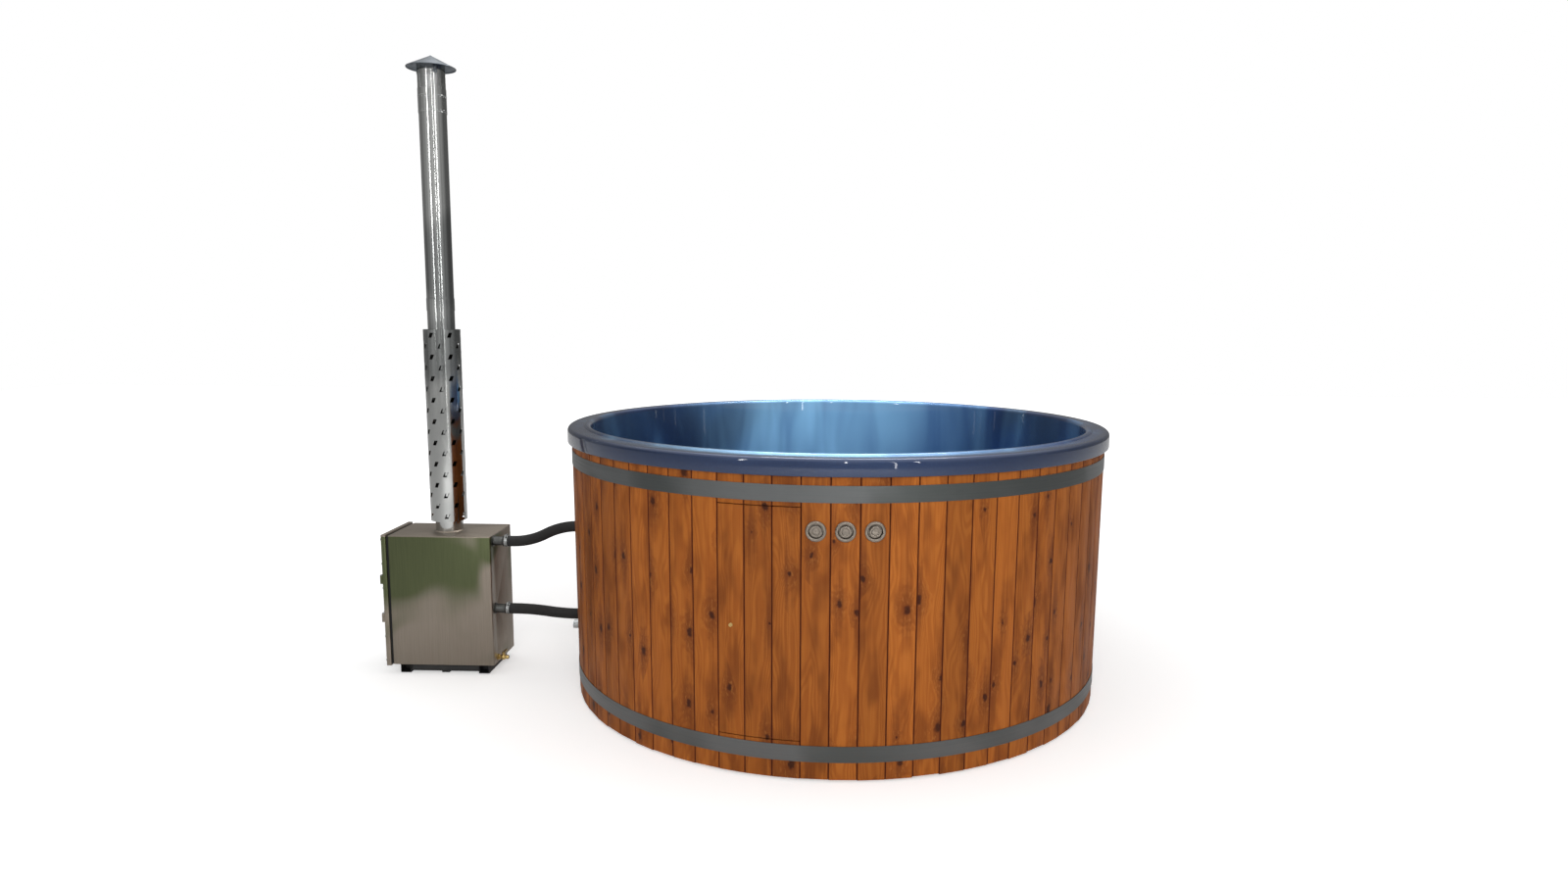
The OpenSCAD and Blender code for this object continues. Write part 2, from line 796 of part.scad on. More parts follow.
module face_plate() {
  color("gray") difference() {
    box([face_x, hy0 - 4, heater_foot - 5], [plate_x, hy1 + 4, heater_top + 4]);
    box([face_x - 1, hy - mouth_w, mouth_z0], [plate_x + 1, hy + mouth_w, mouth_z1]);
    box([face_x - 1, hy - 67, drawer_z - 36], [plate_x + 1, hy + 67, drawer_z + 33]);
  }
}

module plate_bolts() {
  color("silver") for (y = [hy0 + 8, hy1 - 8], k = [0:5]) {
    z = heater_foot + 14 + k * (heater_top - heater_foot - 29) / 5;
    xcyl(5.5, face_x - 5, face_x - 0.02, y, z, $fn = 6);
  }
}

module hinge_brackets() {
  color("silver") for (z = hinge_zs) {
    difference() {
      union() {
        translate([hinge_x, hinge_y, z]) cylinder(r = 8, h = knuckle_h);
        box([hinge_x, hinge_y - 8, z], [face_x - 0.02, hinge_y + 6, z + knuckle_h]);
      }
      translate([hinge_x, hinge_y, z + 2]) cylinder(r = 4, h = knuckle_h + 4);
    }
  }
}

module hinge_pins() {
  color("gray") for (z = hinge_zs) {
    translate([hinge_x, hinge_y, z + 2]) cylinder(r = 3.98, h = 2 * knuckle_h);
    translate([hinge_x, hinge_y, z + 2 * knuckle_h + 0.6]) cylinder(r = 6, h = 2.4);
  }
}

// A rectangular ring on the door's inner face, grown by more on every side
module rope_ring(x0, x1, more) {
  y = mouth_w + rope_edge;
  difference() {
    box([x0, hy - y - rope_w - more, mouth_z0 - rope_edge - rope_w - more],
      [x1, hy + y + rope_w + more, mouth_z1 + rope_edge + rope_w + more]);
    box([x0 - 1, hy - y + more, mouth_z0 - rope_edge + more],
      [x1 + 1, hy + y - more, mouth_z1 + rope_edge - more]);
  }
}

module fire_door() {
  y = mouth_w + door_edge;
  color("slategray") difference() {
    union() {
      box([face_x - 10, hy - y, mouth_z0 - door_edge], [face_x - 2, hy + y, mouth_z1 + door_edge]);
      for (z = hinge_zs) {
        z0 = z + knuckle_h + 0.3;
        translate([hinge_x, hinge_y, z0]) cylinder(r = 8, h = knuckle_h);
        box([hinge_x - 5, hinge_y, z0], [hinge_x + 2.1, hy - 30, z0 + knuckle_h]);
      }
    }
    for (z = hinge_zs) {
      translate([hinge_x, hinge_y, z + 10]) cylinder(r = 4.03, h = 30);
    }
    rope_ring(face_x - rope_t, face_x, rope_gap);
    xcyl(5.03, face_x - 20, face_x, latch_y, latch_z);
  }
}

module door_rope() {
  color("white") rope_ring(face_x - rope_t + 0.1, face_x - 0.1, 0);
}

module door_baffle() {
  color("dimgray") {
    box([face_x + 5, hy - 53, mouth_z0 + 8], [face_x + 8, hy + 50, mouth_z1 - 8]);
    for (y = [hy - 40, hy + 36], z = [mouth_z0 + 25, mouth_z1 - 25]) {
      xcyl(5, face_x - 1.98, face_x + 5.5, y, z);
    }
  }
}

// Latch arm and hub; at rest it is turned up, clear of the keeper
module door_latch() {
  color("silver") translate([face_x, latch_y, latch_z]) rotate([60, 0, 0]) {
    xcyl(5, -32, -4.4, 0, 0);
    xcyl(11, -20, -10.3, 0, 0);
    box([-18, 0, -7], [-13, 45, 7]);
    xcyl(8, -42, -30, 0, 0);
    translate([-36, 0, -42]) cylinder(r = 4, h = 40);
  }
}

module latch_grip() {
  color("saddlebrown") translate([face_x, latch_y, latch_z]) rotate([60, 0, 0]) difference() {
    union() {
      translate([-36, 0, -104]) cylinder(r = 8.5, h = 92);
      translate([-36, 0, -104]) sphere(r = 8.5, $fn = 48);
    }
    translate([-36, 0, -42.2]) cylinder(r = 4.05, h = 60);
  }
}

module latch_keeper() {
  y = keeper_y;
  color("silver") {
    box([face_x - 25, y + 14, latch_z - 12], [face_x - 0.02, y + 21, latch_z + 12]);
    box([face_x - 25, y, latch_z - 12], [face_x - 19.5, y + 15, latch_z + 12]);
  }
}

module damper_holes(x0, x1, a) {
  for (k = [0:3]) {
    translate([0, hy, drawer_z]) rotate([45 + a + 90 * k, 0, 0]) xcyl(6.5, x0, x1, 18, 0);
  }
}

module ash_drawer() {
  x1 = hx1 - 60;
  color("slategray") difference() {
    union() {
      box([face_x - 10.5, hy - 75, drawer_z - 44], [face_x - 0.5, hy + 75, drawer_z + 40]);
      box([face_x - 1, hy - 63, fb_z0 + 4.4], [x1, hy + 63, drawer_z + 24]);
    }
    box([face_x + 1.5, hy - 60.5, fb_z0 + 7], [x1 - 2.5, hy + 60.5, drawer_z + 28]);
    damper_holes(face_x - 20, face_x + 5, 0);
    xcyl(4.03, face_x - 20, face_x - 2, hy, drawer_z);
  }
}

module air_damper() {
  color("silver") difference() {
    union() {
      xcyl(damper_r, face_x - 14, face_x - 10.8, hy, drawer_z);
      xcyl(4, face_x - 12, face_x - 3, hy, drawer_z);
      xcyl(5, face_x - 30, face_x - 13, hy, drawer_z);
      xcyl(10, face_x - 38, face_x - 28, hy, drawer_z);
    }
    damper_holes(face_x - 20, face_x - 5, 45);
  }
}

// The pipe's seat in the heater
module flue_collar() {
  color("silver") translate([fx, hy, 0]) rotate_extrude() {
    translate([flue_r + 0.2, fb_z1 - 4]) square([1.6, heater_top + 51 - fb_z1]);
    translate([flue_r - 2.5, seat_z - 4]) square([3.5, 4]);
  }
}

module flue_lower() {
  color("gainsboro") translate([fx, hy, 0]) tube(flue_r, flue_r - pipe_t, seat_z + e, seam_z + socket_l);
}

module flue_upper() {
  r = flue_r;
  z1 = sleeve_z0 + 70;
  z = seam_z + socket_l + 0.3;
  color("gainsboro") translate([fx, hy, 0]) rotate_extrude()
    polygon([[r + 0.1, seam_z], [r + 1.3, seam_z], [r + 1.3, z + 3.7], [r, z + 9.7],
      [r, z1], [r - pipe_t, z1], [r - pipe_t, z], [r + 0.1, z]]);
}

// One skewed diamond hole cut through the near wall of a tube
module diamond(w, h, skew, r) {
  rotate([90, 0, 90]) translate([0, 0, r - 8]) linear_extrude(16)
    polygon([[-w / 2 - skew, -h / 2], [w / 2 - skew, -h / 2], [w / 2 + skew, h / 2], [-w / 2 + skew, h / 2]]);
}

module heat_shield() {
  color("gainsboro") translate([fx, hy, 0]) difference() {
    tube(shield_r, shield_r - pipe_t, shield_z0, shield_z1);
    for (j = [0:shield_rows - 1], k = [0:5]) {
      translate([0, 0, shield_z0 + 26 + j * shield_pitch]) rotate([0, 0, 60 * k + (j % 2) * 30 - 104.5])
        diamond(10.4, 16.5, 2.6, shield_r);
    }
  }
}

module shield_spacers() {
  color("silver") translate([fx, hy, 0]) for (z = [shield_z0 + 63, shield_z1 - 59.5], k = [0:2]) {
    rotate([0, 0, 15 + 120 * k]) difference() {
      box([flue_r - 1, -7, z], [shield_r, 7, z + 16]);
      box([flue_r + 2, -8, z + 1.5], [shield_r - 3, 8, z + 17]);
      translate([0, 0, z - 1]) cylinder(r = flue_r + 0.02, h = 20);
      tube(shield_r + 8, shield_r - pipe_t - e, z - 1, z + 20);
    }
  }
}

module cap_sleeve() {
  r = flue_r;
  color("gainsboro") translate([fx, hy, 0]) rotate_extrude() {
    translate([r + 0.1, sleeve_z0]) square([1.1, 87]);
    translate([r + 1.1, sleeve_z0 + 4]) circle(r = 0.9, $fn = 24);
    translate([r + 1.1, sleeve_z0 + 62]) circle(r = 0.9, $fn = 24);
    translate([r - 0.6, sleeve_z0 + 70.3]) square([1.5, 1.6]);
  }
}

// Perforated spark arrester between the sleeve and the cap
module spark_mesh() {
  z0 = mesh_z0;
  color("gray") translate([fx, hy, 0]) difference() {
    tube(mesh_r + 0.5, mesh_r - 0.5, z0, cap_top - 42);
    for (j = [0:6], k = [0:19]) {
      translate([0, 0, z0 + 21 + j * 6.4]) rotate([0, 0, 18 * k + (j % 2) * 9])
        rotate([0, 90, 0]) translate([0, 0, mesh_r - 6]) cylinder(r = 5.4, h = 12, $fn = 4);
    }
  }
}

module rain_cap() {
  s = cap_h / cap_r;
  t = 1.7;
  r = mesh_r + 0.8;
  u = cap_top - t;
  z = cap_z0 - 1.6;
  ring_z = cap_top - 68;
  color("silver") translate([fx, hy, 0]) rotate_extrude()
    polygon([[0, cap_top], [cap_r, cap_z0], [cap_r, z], [cap_r - 1.2, z],
      [cap_r - 1.2, u - s * (cap_r - 1.2)], [r + 1.1, u - s * (r + 1.1)], [r + 1.1, ring_z],
      [r, ring_z], [r, u - s * r], [0, u]]);
}

module drain_cock() {
  color("goldenrod") difference() {
    union() {
      xcyl(8, hx1 - 6, cock_x - 4, cock_y, cock_z);
      xcyl(12, hx1 + 0.02, hx1 + 7, cock_y, cock_z, $fn = 6);
      translate([cock_x, cock_y, cock_z]) sphere(r = 11, $fn = 64);
      xcyl(7.5, cock_x + 2, cock_x + 20, cock_y, cock_z);
      translate([cock_x, cock_y, cock_z]) cylinder(r = 5.5, h = 16);
    }
    xcyl(5, hx1 - 10, cock_x - 8, cock_y, cock_z);
    xcyl(5, cock_x + 6, cock_x + 28, cock_y, cock_z);
    translate([cock_x, cock_y, cock_z + 8]) cylinder(r = 2.53, h = 20);
  }
}

module cock_lever() {
  color("goldenrod") translate([cock_x, cock_y, cock_z]) {
    translate([0, 0, 9]) cylinder(r = 2.5, h = 9);
    translate([0, 0, 16.3]) cylinder(r = 6, h = 3);
    box([-4, 0, 16.3], [4, 34, 19.3]);
    translate([0, 34, 16.3]) cylinder(r = 4, h = 3);
  }
}

shell();
rim();
foot_well();
base_runners();
base_joists();
floor_deck();
wall_boards();
board_rings();
bands();
band_clamps();
hatch_boards();
hatch_battens();
hatch_knob();
hatch_catches();
button_bezels();
button_1();
button_2();
button_3();
button_bodies();
control_box();
air_blower();
air_pipe();
air_nozzles();
return_fitting();
suction_fitting();
fitting_nuts();
drain_fitting();
drain_valve();
drain_lever();
upper_hose();
lower_hose();
hose_clamps();
heater_base();
heater_casing();
firebox();
heater_gasket();
face_plate();
plate_bolts();
hinge_brackets();
hinge_pins();
fire_door();
door_rope();
door_baffle();
door_latch();
latch_grip();
latch_keeper();
ash_drawer();
air_damper();
grate();
flue_collar();
flue_lower();
flue_upper();
heat_shield();
shield_spacers();
cap_sleeve();
spark_mesh();
rain_cap();
heater_stubs();
drain_cock();
cock_lever();
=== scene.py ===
"""Looks of a wood-burning hot tub: stained boards, pearl shell, steel heater and flue, hoses."""

import math

import bmesh
import bpy
from bpy.props import FloatProperty, FloatVectorProperty, IntProperty, PointerProperty
from mathutils import Matrix, Vector


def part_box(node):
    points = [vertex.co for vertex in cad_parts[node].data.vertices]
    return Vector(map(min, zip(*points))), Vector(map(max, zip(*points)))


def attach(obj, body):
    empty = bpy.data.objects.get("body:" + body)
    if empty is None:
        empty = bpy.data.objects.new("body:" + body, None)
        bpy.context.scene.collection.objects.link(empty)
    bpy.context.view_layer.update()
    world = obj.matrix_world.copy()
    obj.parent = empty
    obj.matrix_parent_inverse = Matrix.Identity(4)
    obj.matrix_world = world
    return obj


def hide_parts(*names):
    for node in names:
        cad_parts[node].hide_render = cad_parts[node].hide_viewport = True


bl_info = {
    "name": "Wood-burning hot tub",
    "version": (1, 0, 0),
    "blender": (4, 5, 0),
    "location": "3D View > Sidebar > Hot Tub",
    "description": "Builds the visible pieces and finishes of a wood-burning hot tub",
    "category": "Add Mesh",
}

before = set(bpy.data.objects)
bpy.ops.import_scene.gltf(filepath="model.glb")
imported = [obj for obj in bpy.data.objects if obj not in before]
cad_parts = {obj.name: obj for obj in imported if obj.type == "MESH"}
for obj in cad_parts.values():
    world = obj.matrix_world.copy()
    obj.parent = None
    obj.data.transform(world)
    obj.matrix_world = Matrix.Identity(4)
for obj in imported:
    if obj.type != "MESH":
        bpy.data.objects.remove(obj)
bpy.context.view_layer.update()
MM = 0.001

BOARD_START = math.radians(-0.8)  # first board joint, from the front towards +X
BOARD_RISE = 966 * MM  # height over which the boards lean out
KNOT_WIDTH = 75 * MM  # width of the cell that may hold a knot
BUTTONS = {-1: "left", 0: "middle", 1: "right"}  # by the number of their board
HATCH_FIRST = -4  # number of the hatch's first board
HATCH_COUNT = 3
SPOUTS = {"upper_hose": "return_fitting", "lower_hose": "suction_fitting"}

SHIELD_SEAM = math.radians(-104.5)  # where the shield's first column of holes stands
MESH_FOOT = 16 * MM  # plain foot of the mesh inside the sleeve
CAP_SEAT = 2.4 * MM  # from the cone's upper face down to the mesh's top

PHOTO_WIDTH, PHOTO_HEIGHT = 1600, 901
LENS_CENTRE = (826.77, 457.32)  # the lens's axis, in pixels from the upper left
CAMERA_PLACE = (0, -3.7867, 1.3812)


def srgb(code):
    """Turns a written sRGB colour into the linear one that shaders take."""
    parts = [int(code[i : i + 2], 16) / 255 for i in (1, 3, 5)]
    linear = [c / 12.92 if c <= 0.04045 else ((c + 0.055) / 1.055) ** 2.4 for c in parts]
    return (*linear, 1.0)


def length(name, text, size):
    """A length setting in metres."""
    return FloatProperty(name=name, description=text, default=size, unit="LENGTH", precision=4)


def angle(name, text, degrees):
    """An angle setting, written in degrees."""
    return FloatProperty(name=name, description=text, default=math.radians(degrees), subtype="ANGLE")


def colour(name, text, code):
    """A colour setting written as sRGB."""
    return FloatVectorProperty(
        name=name, description=text, default=srgb(code), size=4, subtype="COLOR", min=0, max=1
    )


class HotTubBoards(bpy.types.PropertyGroup):
    """Sizes and stain of the board cladding"""

    count: IntProperty(name="Boards", description="Boards round the tub", default=72, min=24)
    width: length("Width", "Outer face of a board", 84.7 * MM)
    thickness: length("Thickness", "Thickness of a board", 21 * MM)
    edge: length("Edge", "Rounded edge of a board", 2.6 * MM)
    foot_radius: length("Foot radius", "Outer face radius at the ground", 975 * MM)
    lean: length("Lean", "How far the boards lean out over their height", 9.4 * MM)
    joint_gap: length("Hatch gap", "Gap above and below the hatch", 3 * MM)
    uneven: length("Unevenness", "How much the lower ends differ", 1.6 * MM)
    ring_width: length("Year rings", "Width of a year ring on the face", 5.5 * MM)
    knot_step: length("Knot spacing", "Usual distance between knots along a board", 230 * MM)
    pale: colour("Pale flecks", "Bare looking grain beside a knot", "#BB7738")
    light: colour("Light stain", "Stained early wood", "#A55F23")
    stain: colour("Stain", "Middle colour of the boards", "#8F4C19")
    dark: colour("Dark stain", "Late wood and blotches", "#6A3513")
    knot: colour("Knot", "Heart of a knot", "#341508")
    joint: colour("Joint", "Stain gathered in the joints", "#43150B")


class HotTubShell(bpy.types.PropertyGroup):
    """Sizes and pearl colours of the moulded shell"""

    wall: length("Wall", "Thickness of the moulding", 8 * MM)
    rim_width: length("Rim width", "From the rim's outer face to the inner wall", 85 * MM)
    wall_lean: length("Wall lean", "How far the inner wall leans out", 22 * MM)
    bead: length("Bead", "Radius of the rolled bead", 16 * MM)
    corner: length("Corner", "Radius of the outer rim corner", 14 * MM)
    fillet: length("Fillet", "Radius where walls meet bench and floor", 40 * MM)
    nose: length("Nose", "Radius of the bench's front edge", 20 * MM)
    # the deep pearl is also the colour of the painted shade at the inner walls' sides
    deep: colour("Deep pearl", "Darkest swirls", "#172B50")
    middle: colour("Middle pearl", "Main blue", "#2A5491")
    # the pale pearl is also the colour of the painted glow and the painted reflection streaks on the inner
    # walls
    pale: colour("Pale pearl", "Lightest swirls", "#86BDE4")
    sweep: FloatProperty(name="Sweep", description="Extra lean of the inner wall's top", default=0.16)


class HotTubFlue(bpy.types.PropertyGroup):
    """Sizes of the perforated flue pieces"""

    rings: IntProperty(name="Shield rings", description="Rings of holes", default=18, min=2)
    holes: IntProperty(name="Shield holes", description="Holes in a ring", default=6, min=3)
    ring_step: length("Ring step", "Height from ring to ring", 40.5 * MM)
    hole_width: length("Hole width", "Width of a shield hole", 14.0 * MM)
    hole_height: length("Hole height", "Height of a shield hole", 18.4 * MM)
    hole_skew: length("Hole skew", "Sideways lean of a shield hole", 3.8 * MM)
    mesh_holes: IntProperty(name="Mesh holes", description="Holes round the mesh", default=32, min=8)
    mesh_step: length("Mesh step", "Height from row to row", 5.0 * MM)
    sheet: length("Sheet", "Thickness of the perforated sheets", 1.2 * MM)
    cap_rise: length("Cap rise", "Height of the rain cap's cone", 44 * MM)
    crimps: IntProperty(name="Crimps", description="Crimp marks round a bead of the sleeve", default=22, min=4)


class HotTubMetals(bpy.types.PropertyGroup):
    """Colours of the metals"""

    sheet: colour("Heater sheet", "Ground stainless casing", "#978D81")
    # painted reflection: the olive patches stand for what the ground steel reflects
    sheet_painted_reflection: colour("Heater sheet, dark", "Dull patches of the casing", "#5E6448")
    pipe: colour("Flue pipe", "Polished stainless pipe", "#B4B5B3")
    band: colour("Bands", "Brushed stainless bands", "#6E7070")
    chrome: colour("Buttons", "Satin buttons and bezels", "#8A8177")
    zinc: colour("Clamps", "Zinc-plated clamps", "#B9BCBD")
    brass: colour("Brass", "Cocks and screws", "#C8AC70")


class HotTubHoses(bpy.types.PropertyGroup):
    """Sizes and colour of the water hoses"""

    radius: length("Radius", "Outer radius of a hose", 20.2 * MM)
    bore: length("Bore", "Inner radius of a hose", 17.05 * MM)
    rubber: colour("Rubber", "Hose rubber", "#0D0C0C")


class HotTubStage(bpy.types.PropertyGroup):
    """Camera, floor and lamps"""

    focal: FloatProperty(name="Focal length", description="In millimetres on a 36 mm sensor", default=22.879)
    yaw: angle("Yaw", "Turn of the camera", -1.52)
    pitch: angle("Pitch", "Downward tilt", 7.63)
    roll: angle("Roll", "Lean of the camera", 0.44)
    backdrop: colour("Backdrop", "Floor and background", "#FFFFFF")


def feed(tree, made, values):
    """Fills a node's inputs by name or number; a socket among the values is linked."""
    for key, value in values.items():
        if isinstance(value, bpy.types.NodeSocket):
            tree.links.new(value, made.inputs[key])
        else:
            made.inputs[key].default_value = value


# the setting that the second word of a node's kind names
MODES = {
    "Math": "operation",
    "VectorMath": "operation",
    "MapRange": "interpolation_type",
    "Mix": "data_type",
}


def node(tree, kind, *values, at=None, out=0, **settings):
    """Adds a node with its settings and returns one output, or all of them where out is None.

    Values fill the inputs that it shows, in order, and at fills inputs by name. A socket is linked.
    """
    kind, _, mode = kind.partition(" ")
    made = tree.nodes.new(kind if "Node" in kind else "ShaderNode" + kind)
    if mode:
        settings[MODES[kind]] = mode
    for name, value in settings.items():
        setattr(made, name, value)
    shown = [number for number, socket in enumerate(made.inputs) if socket.enabled]
    feed(tree, made, {**dict(zip(shown, values)), **(at or {})})
    if isinstance(out, int):
        return [socket for socket in made.outputs if socket.enabled][out]
    return made.outputs[out] if out else made.outputs


def mottled(tree, place, size, detail=2.0, rough=0.5, distortion=0.0):
    """Noise whose specks have this size in millimetres, one number or one along each axis."""
    sizes = (size,) * 3 if isinstance(size, (int, float)) else size
    stretched = node(tree, "Mapping", at={"Vector": place, "Scale": [1 / (MM * part) for part in sizes]})
    character = {"Scale": 1.0, "Detail": detail, "Roughness": rough, "Distortion": distortion}
    return node(tree, "TexNoise", at={"Vector": stretched, **character})


def new_finish(title):
    """An empty material: its tree, its shader and the object's coordinates."""
    material = bpy.data.materials.new(title)
    material.use_nodes = True
    tree = material.node_tree
    tree.nodes.clear()
    surface = node(tree, "BsdfPrincipled")
    node(tree, "OutputMaterial", surface, out=None)
    return material, tree, surface.node, node(tree, "TexCoord", out="Object")


def stained_spruce(title="stained_spruce_boards"):
    """Planed spruce under a brown stain: year rings, knots, and dark stain in the joints."""
    look = bpy.context.scene.hot_tub_boards
    material, tree, shader, place = new_finish(title)
    split = node(tree, "SeparateXYZ", place, out=None)
    back = node(tree, "Math MULTIPLY", split[1], -1.0)
    turn = node(tree, "Math ARCTAN2", split[0], back)
    step = 2 * math.pi / look.count
    steps = node(tree, "Math DIVIDE", node(tree, "Math SUBTRACT", turn, BOARD_START), step)
    board = node(tree, "Math FLOOR", steps)
    inside = node(tree, "Math SUBTRACT", node(tree, "Math SUBTRACT", steps, board), 0.5)
    across = node(tree, "Math MULTIPLY", inside, step * look.foot_radius)
    along = split[2]
    # each board takes its own stretch of the pattern
    shift = node(tree, "Math MULTIPLY", board, 3.37)
    spot = node(tree, "CombineXYZ", across, shift, along)
    drift = mottled(tree, spot, (111.1, 1000, 454.5), 2.0, 0.5)
    # knots sit in cells as wide as a board and a knot spacing tall
    cell_x = node(
        tree,
        "Math ADD",
        node(tree, "Math DIVIDE", across, KNOT_WIDTH),
        node(tree, "Math MULTIPLY", board, 17.3),
    )
    cell_z = node(
        tree,
        "Math ADD",
        node(tree, "Math DIVIDE", along, look.knot_step),
        node(tree, "Math MULTIPLY", board, 11.7),
    )
    cell = node(tree, "CombineXYZ", cell_x, cell_z)
    knots = node(
        tree,
        "TexVoronoi",
        at={"Vector": cell, "Scale": 1.0, "Randomness": 0.85},
        out=None,
        voronoi_dimensions="2D",
    )
    offset = node(tree, "VectorMath SUBTRACT", cell, knots["Position"])
    real = node(tree, "VectorMath MULTIPLY", offset, (KNOT_WIDTH, look.knot_step * 0.62, 0.0))
    ragged = node(
        tree, "Math MULTIPLY", node(tree, "Math SUBTRACT", mottled(tree, spot, 16.67, 2.0), 0.5), 0.016
    )
    far = node(tree, "VectorMath LENGTH", real)
    chance = node(tree, "SeparateColor", knots["Color"], out=None)
    present = node(tree, "MapRange SMOOTHSTEP", chance[0], 0.36, 0.4)
    size = node(tree, "MapRange LINEAR", chance[1], 0.0, 1.0, 0.5, 1.8)
    reach = node(tree, "Math DIVIDE", node(tree, "Math ADD", far, ragged), size)
    halo = node(tree, "Math MULTIPLY", node(tree, "MapRange SMOOTHSTEP", reach, 0.036, 0.004), present)
    heart = node(tree, "Math MULTIPLY", node(tree, "MapRange SMOOTHSTEP", reach, 0.0085, 0.003), present)
    # the grain round a knot is darker far above and below it
    tall = node(tree, "VectorMath MULTIPLY", real, (1.25, 0.33, 0.0))
    away = node(tree, "VectorMath LENGTH", tall)
    flame = node(
        tree,
        "Math MULTIPLY",
        node(tree, "MapRange SMOOTHSTEP", node(tree, "Math ADD", away, ragged), 0.036, 0.006),
        present,
    )
    # year rings bend round the knots and open into arches where the board drifts through them
    pith = node(tree, "Math MULTIPLY", node(tree, "Math SUBTRACT", drift, 0.5), 0.16)
    from_pith = node(tree, "Math SUBTRACT", across, pith)
    depth = node(
        tree,
        "Math ADD",
        0.02,
        node(tree, "Math MULTIPLY", mottled(tree, spot, (500, 1000, 769.2), 1.0, 0.5), 0.05),
    )
    square = node(
        tree, "Math ADD", node(tree, "Math POWER", from_pith, 2.0), node(tree, "Math POWER", depth, 2.0)
    )
    radius = node(tree, "Math SQRT", square)
    pushed = node(tree, "Math ADD", radius, node(tree, "Math MULTIPLY", halo, 0.012))
    wave = node(tree, "Math SINE", node(tree, "Math MULTIPLY", pushed, 2 * math.pi / look.ring_width))
    rings = node(tree, "MapRange SMOOTHSTEP", wave, -0.9, 1.0)
    fibres = mottled(tree, spot, (2.381, 1000, 142.9), 3.0, 0.6)
    streaks = mottled(tree, spot, (9.091, 1000, 400), 2.0, 0.5)
    clouds = mottled(tree, spot, (62.5, 1000, 200), 2.0, 0.55)
    tone = node(tree, "TexWhiteNoise", at={"W": board}, noise_dimensions="1D")
    wood = node(tree, "Mix RGBA", node(tree, "Math MULTIPLY", rings, 0.6), look.light, look.stain)
    wood = node(
        tree, "Mix RGBA", node(tree, "MapRange SMOOTHSTEP", streaks, 0.42, 0.72, 0.0, 0.5), wood, look.stain
    )
    wood = node(
        tree, "Mix RGBA", node(tree, "MapRange SMOOTHSTEP", clouds, 0.46, 0.72, 0.0, 0.66), wood, look.dark
    )
    wood = node(
        tree, "Mix RGBA", node(tree, "MapRange SMOOTHSTEP", fibres, 0.5, 0.78, 0.0, 0.35), wood, look.dark
    )
    wood = node(
        tree,
        "Mix RGBA",
        node(tree, "Math MULTIPLY", flame, node(tree, "MapRange SMOOTHSTEP", streaks, 0.3, 0.6, 0.25, 0.75)),
        wood,
        look.dark,
    )
    flecks = node(
        tree,
        "Math MULTIPLY",
        halo,
        node(tree, "MapRange SMOOTHSTEP", mottled(tree, spot, (6.667, 1000, 16.67), 2.0, 0.6), 0.52, 0.68),
    )
    wood = node(tree, "Mix RGBA", node(tree, "Math MULTIPLY", flecks, 0.6), wood, look.pale)
    wood = node(tree, "Mix RGBA", node(tree, "Math MULTIPLY", halo, 0.5), wood, look.dark)
    wood = node(tree, "Mix RGBA", node(tree, "Math MULTIPLY", heart, 0.92), wood, look.knot)
    shade = node(tree, "MapRange LINEAR", tone, 0.0, 1.0, 0.82, 1.12)
    grey = node(tree, "CombineColor", shade, shade, shade)
    wood = node(tree, "Mix RGBA", 1.0, wood, grey, blend_type="MULTIPLY")
    rim = node(tree, "Math ABSOLUTE", across)
    half = look.width / 2
    edge = node(tree, "MapRange SMOOTHSTEP", rim, half - look.edge - 0.0012, half - 0.0004)
    wood = node(tree, "Mix RGBA", node(tree, "Math MULTIPLY", edge, 0.95), wood, look.joint)
    feed(tree, shader, {
        "Base Color": wood,
        "Roughness": node(tree, "MapRange SMOOTHSTEP", clouds, 0.3, 0.8, 0.5, 0.66),
        "Specular IOR Level": 0.16,
    })
    # late wood stands a little proud after the stain, and knots more
    relief = node(
        tree, "Math ADD", node(tree, "Math MULTIPLY", rings, 0.35), node(tree, "Math MULTIPLY", fibres, 0.4)
    )
    feed(tree, shader, {
        "Normal": node(tree, "Bump", at={
            "Height": node(tree, "Math ADD", relief, node(tree, "Math MULTIPLY", heart, 0.6)),
            "Distance": 0.00035,
        }),
    })
    return material


def plain_timber(title, light, dark, grain_axis):
    """Raw sawn softwood with its grain along one axis."""
    material, tree, shader, place = new_finish(title)
    sizes = [11.11, 11.11, 11.11]
    sizes[grain_axis] = 400
    rings = mottled(tree, place, sizes, 3.0, 0.6, distortion=0.4)
    stains = mottled(tree, place, 200, 2.0)
    wood = node(tree, "Mix RGBA", node(tree, "MapRange SMOOTHSTEP", rings, 0.35, 0.7), srgb(light), srgb(dark))
    wood = node(
        tree, "Mix RGBA", node(tree, "MapRange SMOOTHSTEP", stains, 0.5, 0.8, 0.0, 0.4), wood, srgb(dark)
    )
    feed(tree, shader, {
        "Base Color": wood,
        "Roughness": 0.75,
        "Normal": node(tree, "Bump", at={"Height": rings, "Distance": 0.0005}),
    })
    return material


